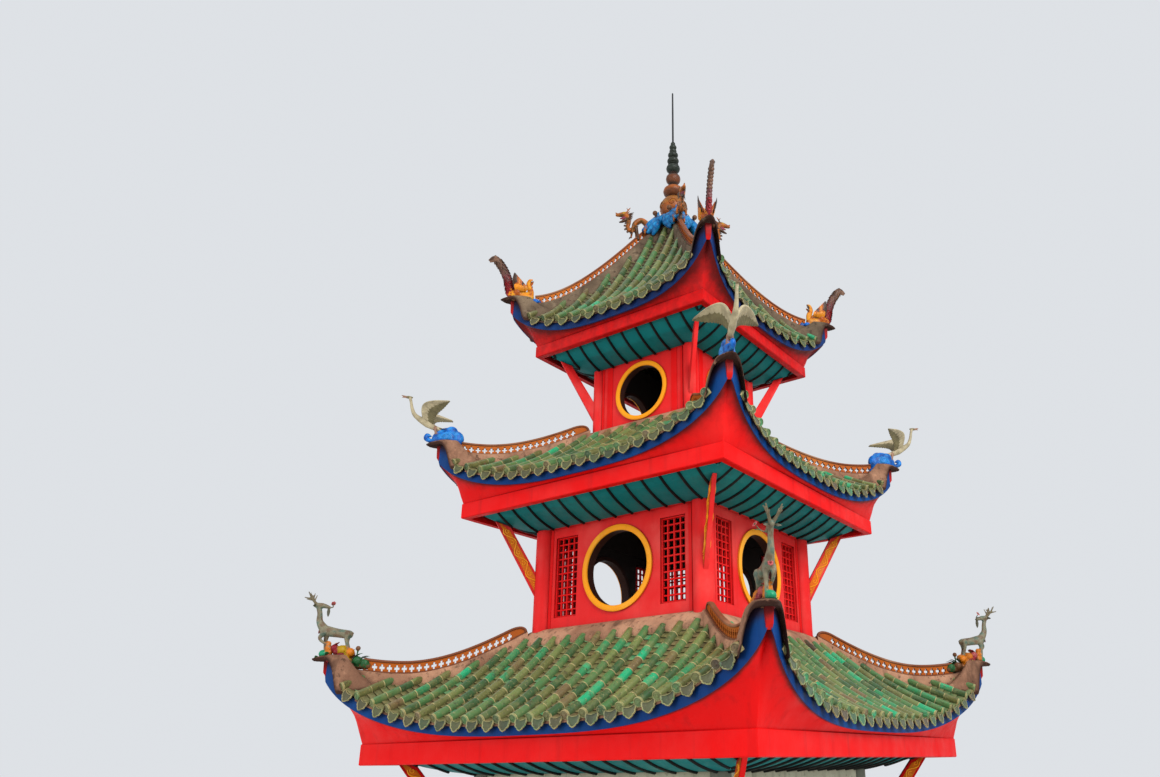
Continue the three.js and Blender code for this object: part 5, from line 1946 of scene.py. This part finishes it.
def deer():
    model = Model()
    # Trunk, neck and the head that looks back.
    model.limb(COAT, [(3.385, 0, 5.035, 0.062), (3.5, 0, 5.055, 0.064), (3.62, 0, 5.085, 0.078)], flat=0.75)
    model.limb(
        COAT,
        [(3.625, 0, 5.095, 0.07), (3.68, 0, 5.21, 0.047), (3.69, 0, 5.33, 0.036), (3.712, 0, 5.43, 0.036)],
        flat=0.8,
    )
    model.limb(COAT, [(3.735, 0, 5.445, 0.038), (3.67, 0, 5.44, 0.038), (3.6, 0, 5.415, 0.02)], flat=0.85)
    # Forelegs, one of them raised, then hind legs and tail.
    model.limb(COAT, [(3.6, -0.028, 5.04, 0.042), (3.605, -0.03, 4.9, 0.022), (3.59, -0.03, 4.74, 0.018)])
    model.limb(COAT, [(3.62, 0.03, 5.05, 0.044), (3.655, 0.032, 4.965, 0.023), (3.56, 0.032, 4.865, 0.016)])
    model.limb(
        COAT, [(3.395, 0.028, 5.04, 0.052), (3.395, 0.03, 4.93, 0.026), (3.36, 0.032, 4.8, 0.018)], pair=True
    )
    model.limb(COAT, [(3.372, 0, 5.07, 0.022), (3.345, 0, 5.055, 0.012)])
    # Antlers with their branches, and ears.
    model.limb(
        HORN, [(3.735, 0.016, 5.465, 0.021), (3.775, 0.05, 5.53, 0.016), (3.81, 0.084, 5.62, 0.009)],
        pair=True,
    )
    model.limb(HORN, [(3.775, 0.05, 5.525, 0.014), (3.845, 0.066, 5.545, 0.009)], pair=True)
    model.limb(HORN, [(3.765, 0.04, 5.505, 0.013), (3.75, 0.075, 5.6, 0.008)], pair=True)
    model.limb(HORN, [(3.79, 0.065, 5.56, 0.011), (3.785, 0.105, 5.61, 0.007)], pair=True)
    model.blade((3.735, 0.03, 5.44), (3.752, 0.095, 5.425), 0.036, COAT_DARK, pair=True, normal=(1, 0, 0.4))
    # The heap under its feet: earth, fruit and leaves.
    model.limb(
        EARTH, [(3.17, 0, 4.6, 0.05), (3.3, 0, 4.62, 0.07), (3.42, 0, 4.66, 0.07), (3.5, 0, 4.7, 0.045)]
    )
    for far, side, height, radius, paint in DEER_HEAP:
        model.ball((far, side, height), (radius,) * 3, paint)
    model.limb(LEAF, [(3.285, 0.02, 4.7, 0.012), (3.278, 0.02, 4.8, 0.012)])
    model.ball((3.278, 0.02, 4.84), (0.036, 0.034, 0.036), EARTH)
    for far, side, height in BACK_LEAVES:
        root = (far + 0.1, side * 0.5, 4.68)
        model.blade(root, (far, side, height), 0.07, LEAF, normal=(0.3, 0, 1), bow=0.02)
    for far, side, height in HEAP_LEAVES:
        root, tip = (far, side * 0.5, height - 0.06), (far + 0.02, side * 1.5, height)
        model.blade(root, tip, 0.06, LEAF, normal=(0.4, 0, 1), bow=0.01)
    # Flowers on the heap, on its sides and on the deer's breast.
    model.limb(LEAF, [(3.48, 0.02, 4.74, 0.018), (3.49, 0.02, 4.88, 0.02)])
    model.rosette((3.49, 0.02, 4.885), (0.5, 0.2, 1), 0.06, 7, BERRY, YELLOW)
    model.rosette((3.668, -0.005, 5.07), (1, -0.2, 0.1), 0.032, 7, ROSE, BERRY)
    model.rosette((3.43, 0.085, 4.72), (0, 1, 0.3), 0.055, 7, BERRY, ORANGE)
    model.rosette((3.45, -0.085, 4.73), (0, -1, 0.3), 0.055, 7, BERRY, YELLOW)
    # The sprig in its mouth, with its leaves.
    model.limb(HORN, [(3.605, 0, 5.41, 0.01), (3.58, -0.05, 5.43, 0.009), (3.585, -0.1, 5.475, 0.009)])
    model.rosette((3.585, -0.11, 5.49), (0.4, -0.8, 0.5), 0.035, 6, ROSE, LEAF)
    model.blade((3.61, 0.005, 5.415), (3.607, 0.012, 5.28), 0.05, COAT_DARK, normal=(0.3, 1, 0))
    model.blade((3.582, -0.06, 5.44), (3.6, -0.13, 5.43), 0.04, LEAF, normal=(0.2, 0.2, 1))
    model.perch("deer", "deer_glaze", COAT_PATCHES)


deer()

# %% [markdown]
# ## Cranes
# A crane lands on a blue cloud at each tip of the middle roof, its neck stretched out and its wings
# still raised. A wing is an arm with two thin pleated skins behind it: one of long feathers, and a
# shorter and thicker one over their roots.

# %% Cranes
PLUME, PLUME_DARK, SHANK = colour(184, 170, 136), colour(118, 108, 74), colour(150, 112, 90)
SKY_BLUE, DEEP_BLUE, CLOUD_RIM = colour(6, 104, 196), colour(6, 78, 158), colour(40, 136, 214)
CLOUD_PATCHES = {SKY_BLUE: (DEEP_BLUE, CLOUD_RIM)}
CLOUD_CURL = SimpleNamespace(spots=10, turn=0.75, reach=0.07, shrink=12)
CLOUD_LOBES = [
    (2.6, 0.0, 8.13, (0.19, 0.09, 0.17)), (2.51, 0.0, 8.11, (0.13, 0.08, 0.14)),
    (2.67, 0.0, 8.11, (0.14, 0.08, 0.13)), (2.56, 0.035, 8.22, (0.1, 0.06, 0.09)),
    (2.65, -0.03, 8.2, (0.1, 0.06, 0.08)),
]
WING_ARM = [
    (2.87, 0.03, 8.42), (2.89, 0.09, 8.55), (2.865, 0.17, 8.62), (2.76, 0.3, 8.62), (2.6, 0.43, 8.585)
]
WING_BACK = [
    (2.77, 0.03, 8.34), (2.755, 0.1, 8.42), (2.72, 0.18, 8.47), (2.65, 0.3, 8.52), (2.58, 0.44, 8.575)
]


def crane():
    model = Model()
    # The cloud, with a curl at its outer end and one on each side.
    model.limb(SKY_BLUE, [(2.46, 0, 7.95, 0.06), (2.54, 0, 7.99, 0.09), (2.6, 0, 8.02, 0.06)])
    for far, side, height, size in CLOUD_LOBES:
        model.ball((far, side, height), size, SKY_BLUE)
    model.limb(
        SKY_BLUE,
        [
            (2.7, 0, 8.06, 0.035), (2.775, 0, 8.06, 0.035), (2.83, 0, 8.1, 0.04), (2.82, 0, 8.155, 0.034),
            (2.785, 0, 8.14, 0.018),
        ],
    )
    for side in (1, -1):
        curl = [
            (2.6 + reach * math.cos(angle) / ROOT2, side * 0.088, 8.12 + reach * math.sin(angle))
            for angle, reach in spiral(CLOUD_CURL)
        ]
        model.limb(CLOUD_RIM, curl, [0.012, 0.008])
    # Trunk, neck, head and bill.
    model.limb(PLUME, [(2.73, 0, 8.27, 0.04), (2.83, 0, 8.345, 0.062), (2.92, 0, 8.42, 0.048)], flat=0.85)
    model.limb(
        PLUME,
        [
            (2.91, 0, 8.41, 0.048), (2.98, 0, 8.49, 0.034), (3.015, 0, 8.6, 0.026), (3.032, 0, 8.7, 0.022),
            (3.045, 0, 8.765, 0.024),
        ],
    )
    model.limb(PLUME_DARK, [(3.025, 0, 8.785, 0.014), (3.07, 0, 8.785, 0.026)])
    model.limb(SHANK, [(3.075, 0, 8.79, 0.013), (3.145, 0, 8.812, 0.007)])
    model.limb(SHANK, [(3.075, 0, 8.775, 0.011), (3.135, 0, 8.777, 0.007)])
    # Rump and legs.
    model.limb(PLUME, [(2.74, 0, 8.28, 0.04), (2.68, 0, 8.26, 0.03)])
    model.limb(
        SHANK, [(2.74, 0.024, 8.28, 0.026), (2.735, 0.034, 8.21, 0.018), (2.71, 0.036, 8.12, 0.014)],
        pair=True,
    )
    # Wings and tail feathers.
    model.limb(PLUME, WING_ARM, [0.03, 0.024, 0.02, 0.016, 0.01], pair=True)
    model.wings(WING_ARM, WING_BACK, PLUME_DARK, 13)
    model.wings(WING_ARM, (np.array(WING_ARM) + WING_BACK) / 2, PLUME, 9, 0.026)
    for k in range(-2, 3):
        side = k * 0.022
        root, tip = (2.7, side * 0.5, 8.27), (2.62 - abs(side) * 0.2, side * 1.6, 8.24)
        model.blade(root, tip, 0.045, PLUME_DARK, normal=(-0.5, 0, 1))
    model.perch("crane", "crane_glaze", CLOUD_PATCHES)


crane()

# %% [markdown]
# ## Phoenixes
# The phoenix at each tip of the top roof has a thick neck that rises and leans far out, two upright
# wings and a curled tail. Its neck is brown above and ringed with red feathers below, and the body is
# gold. Rings of short blades down the neck give it its ragged edge.

# %% Phoenixes
GOLD, AMBER, UMBER = colour(222, 134, 8), colour(176, 84, 12), colour(108, 76, 58)
MAUVE, CRIMSON, DUSK = colour(112, 66, 66), colour(134, 18, 26), colour(66, 44, 32)
PHOENIX_PATCHES = {GOLD: (AMBER, colour(232, 160, 30)), UMBER: (DUSK, colour(132, 98, 76))}
NECK = [(2.02, 0, 10.83), (2.043, 0, 10.98), (2.072, 0, 11.13), (2.13, 0, 11.31), (2.21, 0, 11.47)]
NECK_FLAT = 0.42
NECK_STEPS = 45
CRIMSON_END, MAUVE_END = 18, 26
RUFF = 9
RUFF_RADIUS = 0.068
WING_FACING = (0, 1, -0.15)


def neck_feathers(model):
    """Rings of short blades down the neck, close to its skin."""
    neck = smooth_line(NECK, NECK_STEPS) * (ROOT2, 1, 1)
    for k in range(3, NECK_STEPS - 2, 3):
        paint = CRIMSON if k < CRIMSON_END else MAUVE if k < MAUVE_END else UMBER
        proud = 0.026 if k < CRIMSON_END else 0.014
        ahead = neck[k + 1] - neck[k - 1]
        ahead /= np.linalg.norm(ahead)
        out = np.cross((0, 1, 0), ahead)
        for turn in range(RUFF):
            angle = (turn + (k % 2) / 2) * math.tau / RUFF
            ray = out * math.cos(angle) + np.array([0, NECK_FLAT, 0]) * math.sin(angle)
            base = neck[k] + ray * RUFF_RADIUS
            tip = base + ray * proud - ahead * 0.03
            feather = blade_shape(base + ahead * 0.025, tip, 0.04, 0.01, ray, 0.002)
            model.crisp.append((feather, paint))


def phoenix():
    model = Model()
    # The seat on the ridge and the trunk.
    model.limb(GOLD, [(1.76, 0, 10.68, 0.05), (1.85, 0, 10.7, 0.07), (1.93, 0, 10.73, 0.055)])
    model.limb(GOLD, [(1.79, 0, 10.79, 0.075), (1.9, 0, 10.81, 0.095), (1.99, 0, 10.84, 0.075)], flat=0.7)
    # Neck, head, bill, crest and eyes.
    model.limb(CRIMSON, NECK[:3], [0.085, 0.078, 0.075], flat=NECK_FLAT)
    model.limb(MAUVE, NECK[2:4], [0.075, 0.075], flat=NECK_FLAT)
    model.limb(UMBER, NECK[3:], [0.075, 0.068], flat=NECK_FLAT)
    model.limb(UMBER, [(2.2, 0, 11.46, 0.066), (2.245, 0, 11.495, 0.06), (2.295, 0, 11.46, 0.026)], flat=0.6)
    model.limb(UMBER, [(2.27, 0, 11.445, 0.03), (2.29, 0, 11.42, 0.012)], flat=0.7)
    model.limb(DUSK, [(2.2, 0, 11.51, 0.03), (2.235, 0, 11.56, 0.014)], flat=0.6)
    model.ball((2.255, 0.036, 11.505), (0.012, 0.01, 0.012), DUSK, pair=True)
    # The curled tail.
    model.limb(
        GOLD,
        [
            (1.79, 0, 10.8, 0.07), (1.785, 0, 10.92, 0.055), (1.815, 0, 11.03, 0.04), (1.8, 0, 11.12, 0.03),
            (1.77, 0, 11.14, 0.014),
        ],
        flat=0.6,
    )
    neck_feathers(model)
    # Wings: an arm, long feathers and short ones over their roots.
    model.limb(
        AMBER, [(1.94, 0.05, 10.84, 0.055), (1.95, 0.085, 10.98, 0.042), (1.96, 0.125, 11.11, 0.014)],
        pair=True, flat=0.7,
    )
    for k in range(7):
        lean = k / 6
        root = (1.95 - 0.09 * lean, 0.06, 10.86)
        tip = (1.985 - 0.13 * lean, 0.145 - 0.05 * lean, 11.17 - 0.19 * lean)
        paint = (DUSK, AMBER, GOLD, AMBER)[k % 4]
        model.blade(root, tip, 0.11, paint, pair=True, normal=WING_FACING, thick=0.024, bow=0.02)
    for k in range(6):
        root, tip = (1.95 - 0.015 * k, 0.07, 10.85), (1.975 - 0.02 * k, 0.115, 11.0 - 0.01 * k)
        model.blade(root, tip, 0.055, GOLD, pair=True, normal=WING_FACING, thick=0.016, bow=0.014)
    # Feathers down the tail, and flowers round the seat.
    for k in range(4):
        root, tip = (1.8, 0.0, 10.9 + 0.05 * k), (1.765 - 0.004 * k, 0.03 * (-1) ** k, 10.98 + 0.05 * k)
        model.blade(root, tip, 0.05, (AMBER, DUSK)[k % 2])
    clumps = [
        (1.72, 0.04, SKY_BLUE), (1.74, -0.04, SKY_BLUE), (1.8, 0.08, LEAF), (1.9, -0.08, EARTH),
        (1.97, 0.08, EARTH), (1.68, 0.0, DEEP_BLUE),
    ]
    for far, side, paint in clumps:
        model.ball((far, side, 10.7), (0.06, 0.04, 0.05), paint)
    model.perch("phoenix", "gold_glaze", PHOENIX_PATCHES)


phoenix()

# %% [markdown]
# ## Dragons at the apex
# Four dragons spring from the mound at the top, one towards each corner. The body arches up and down and
# up again to a raised head with an open mouth and antlers. Behind each dragon a streaked blue cloud
# climbs on to the gourd, and brown balls on short stems stand between them.

# %% Apex dragons
HIDE, HIDE_DARK = colour(150, 84, 26), colour(74, 46, 26)
MAW, FLAME = colour(130, 50, 70), colour(8, 112, 176)
APEX_PATCHES = {
    HIDE: (colour(184, 96, 18), colour(96, 70, 30)),
    FLAME: (colour(6, 84, 140), colour(30, 144, 204)),
}
DRAGON_BODY = [
    (0.22, 0, 12.36), (0.319, 0, 12.442), (0.36, 0, 12.55), (0.433, 0, 12.605), (0.505, 0, 12.53),
    (0.53, 0, 12.41), (0.57, 0, 12.36), (0.605, 0, 12.42), (0.588, 0, 12.54), (0.61, 0, 12.64),
]
DRAGON_RADII = [0.042, 0.046, 0.048, 0.048, 0.046, 0.044, 0.042, 0.04, 0.038, 0.042]
BODY_STEPS = 60


def apex_dragons():
    model = Model()
    # The body with the spines down its back.
    model.limb(HIDE, DRAGON_BODY, DRAGON_RADII)
    line = smooth_line(DRAGON_BODY, BODY_STEPS)
    for k in range(3, BODY_STEPS - 3, 3):
        ahead = (line[k + 1] - line[k - 1]) * (ROOT2, 1, 1)
        ahead /= np.linalg.norm(ahead)
        out = np.cross((0, 1, 0), ahead)
        base = line[k] * (ROOT2, 1, 1) + out * 0.04
        scale = blade_shape(base - out * 0.01, base + out * 0.034 - ahead * 0.03, 0.045, 0.012, (0, 1, 0))
        model.crisp.append((scale, HIDE_DARK))
    # Head, snout, lower jaw, tongue, eyes, antlers and mane.
    model.limb(
        HIDE,
        [(0.6, 0, 12.63, 0.055), (0.635, 0, 12.69, 0.058), (0.69, 0, 12.68, 0.046), (0.745, 0, 12.66, 0.028)],
    )
    model.limb(HIDE, [(0.735, 0, 12.675, 0.026), (0.762, 0, 12.71, 0.01)])
    model.limb(HIDE_DARK, [(0.625, 0, 12.6, 0.036), (0.665, 0, 12.545, 0.028), (0.71, 0, 12.515, 0.014)])
    model.limb(MAW, [(0.64, 0, 12.62, 0.03), (0.7, 0, 12.595, 0.012)])
    model.ball((0.655, 0.04, 12.705), (0.018, 0.014, 0.018), YELLOW, pair=True)
    model.limb(
        HIDE, [(0.625, 0.025, 12.72, 0.016), (0.6, 0.045, 12.77, 0.012), (0.575, 0.055, 12.815, 0.008)],
        pair=True,
    )
    model.limb(HIDE, [(0.605, 0.042, 12.76, 0.01), (0.625, 0.06, 12.8, 0.008)], pair=True)
    for k in range(5):
        root, tip = (0.61, 0.03, 12.6 + 0.02 * k), (0.56 - 0.008 * k, 0.07, 12.57 + 0.035 * k)
        model.blade(root, tip, 0.035, HIDE_DARK, pair=True, normal=(0.3, 1, 0.2))
    # Legs with their claws.
    for far, side in ((0.52, 0.075), (0.36, 0.085)):
        model.limb(
            HIDE,
            [
                (far, 0.03, 12.45, 0.032), (far + 0.02, side, 12.38, 0.022),
                (far + 0.03, side + 0.01, 12.27, 0.018),
            ],
            pair=True,
        )
        for claw in (-1, 0, 1):
            root, tip = (far + 0.03, side + 0.01, 12.28), (far + 0.06, side + 0.012 + 0.03 * claw, 12.245)
            model.blade(root, tip, 0.02, HIDE_DARK, pair=True, normal=(0.3, 0, 1))
    # The blue cloud behind it.
    for side in (-1, 1):
        for k, (reach, height) in enumerate(((0.07, 12.5), (0.12, 12.44), (0.17, 12.4))):
            bend = side * reach
            spots = [
                (0.4 - 0.06 * k, bend * 0.8, height - 0.14), (0.31 - 0.03 * k, bend * 1.15, height - 0.02),
                (0.24, bend * 1.1, height + 0.1), (0.2, bend * 0.8, height + 0.24),
            ]
            model.limb(FLAME, spots, [0.04, 0.075, 0.065, 0.014])
        model.limb(
            FLAME,
            [
                (0.26, side * 0.12, 12.44, 0.06), (0.2, side * 0.17, 12.52, 0.075),
                (0.16, side * 0.21, 12.56, 0.07),
            ],
        )
    model.limb(
        FLAME,
        [(0.38, 0, 12.36, 0.06), (0.3, 0, 12.48, 0.075), (0.24, 0, 12.62, 0.06), (0.2, 0, 12.82, 0.014)],
    )
    # The post under the body, and the balls on their stems.
    model.limb(HIDE_DARK, [(0.5, 0, 12.43, 0.045), (0.485, 0, 12.32, 0.036), (0.47, 0, 12.2, 0.045)])
    for side in (-1, 1):
        model.limb(HIDE_DARK, [(0.245, side * 0.13, 12.54, 0.014), (0.26, side * 0.145, 12.66, 0.012)])
        model.ball((0.262, side * 0.147, 12.69), (0.048, 0.048, 0.048), EARTH)
    stock, colours = model.cast(APEX_PATCHES)
    made = stock.around(CORNERS).piece("apex_dragon_ring", "figure", "gold_glaze", "apex_dragons")
    put_colours(made.data, "paint", colours * len(CORNERS))


apex_dragons()

# %% [markdown]
# ## Finial
# The finial is thrown like pottery, in one line from the gourd ball to the iron rod: beads, rings and a
# flared cup over an orange ball. It is one turned profile, whose colours change with height. Six raised
# scrolls are laid on the gourd ball.

# %% Finial
BRONZE, RUST, OCHRE, IRON = colour(40, 48, 40), colour(156, 82, 28), colour(150, 92, 30), colour(40, 42, 44)
BEAD_BROWN, BEAD_DARK = colour(112, 62, 34), colour(62, 42, 32)
FINIAL_BANDS = [
    (12.7, EARTH), (12.92, RUST), (13.12, OCHRE), (13.2, BEAD_DARK), (13.3, BEAD_BROWN), (13.36, RUST),
    (13.5, BEAD_DARK), (13.62, BEAD_BROWN), (13.74, BEAD_DARK), (13.88, BRONZE), (13.9, OCHRE),
    (14.44, BRONZE), (99, IRON),
]
BEADS = [
    (13.31, 0.19, 0.115), (13.45, 0.09, 0.02), (13.6, 0.138, 0.115), (13.725, 0.085, 0.02),
    (13.84, 0.132, 0.09), (13.94, 0.1, 0.02), (14.02, 0.112, 0.06), (14.155, 0.098, 0.055),
    (14.25, 0.07, 0.04), (14.34, 0.07, 0.045), (14.42, 0.045, 0.03),
]
GOURD = (12.93, 0.25)
GOURD_STRETCH = 0.97
CORE = 0.03
TURNED_SIDES = 40
LEAST_RISE = 0.0004
ROD = [
    (0.03, 14.45), (0.026, 14.464), (0.018, 14.468), (0.017, 15.2), (0.015, 15.64), (0.01, 15.66),
    (0.002, 15.664),
]
SCROLLS = 6
SCROLL = SimpleNamespace(spots=13, turn=0.6, reach=0.085, shrink=15)
SCROLL_RADII = [0.011, 0.006]
SCROLL_STEPS = 26
SCROLL_PROUD, SCROLL_HEIGHT = 0.004, 0.265


def finial_profile():
    profile = [(0.02, 12.56), (0.2, 12.56), (0.225, 12.6), (0.215, 12.66), (0.18, 12.7)]
    for angle in np.linspace(-1.15, 1.2, 18):
        rise = GOURD_STRETCH * GOURD[1] * math.sin(angle)
        profile.append((GOURD[1] * math.cos(angle) ** 0.8, GOURD[0] + rise))
    for height, radius, half in BEADS:
        for angle in np.linspace(-1.25, 1.25, 7):
            profile.append((CORE + (radius - CORE) * math.cos(angle), height + half * math.sin(angle)))
    profile += ROD
    rising = [profile[0]]
    for radius, height in profile[1:]:
        rising.append((radius, max(height, rising[-1][1] + LEAST_RISE)))
    return rising


def scroll(angle):
    """A curl laid on the gourd ball, at an angle about the axis."""
    middle, ball = GOURD
    spots = []
    for swing, reach in spiral(SCROLL):
        a, rise = angle + reach * math.cos(swing) / ball, reach * math.sin(swing)
        radius = ball * math.sqrt(1 - (rise / SCROLL_HEIGHT) ** 2) + SCROLL_PROUD
        spots.append((radius * math.cos(a), radius * math.sin(a), middle + rise))
    return tube(spots, SCROLL_RADII, VINE_SIDES, SCROLL_STEPS)


def finial():
    profile = finial_profile()
    stock, colours = Stock(lathe(profile, TURNED_SIDES)), []
    for _, height in profile:
        paint = next(shade for top, shade in FINIAL_BANDS if height <= top)
        colours += [paint] * TURNED_SIDES
    for turn, angle in enumerate(spokes(SCROLLS)):
        shape = scroll(angle)
        stock.add(shape)
        colours += [RUST if turn % 2 else OCHRE] * len(shape[0])
    made = stock.piece("finial_beads", "figure", "finial_glaze", "finial")
    put_colours(made.data, "paint", colours)


finial()

# %% [markdown]
# ## Finishes for the frame's own walls
# The walls, floors and the apex's inner parts keep the frame's own meshes. They only need their finish,
# which follows from what they are.

# %% Finish the frame's own parts
for name, node in sorted(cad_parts.items()):
    if name.endswith("_floor"):
        finish = "timber"
    elif name.endswith("_wall"):
        finish = f"red_wall_{name[7]}" if name.startswith("storey") else "plaster"
    else:
        finish = "cement"
    for place in node.material_slots:
        place.material = PAINTS[finish]
print(len(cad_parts), "nodes of the frame have a finish")
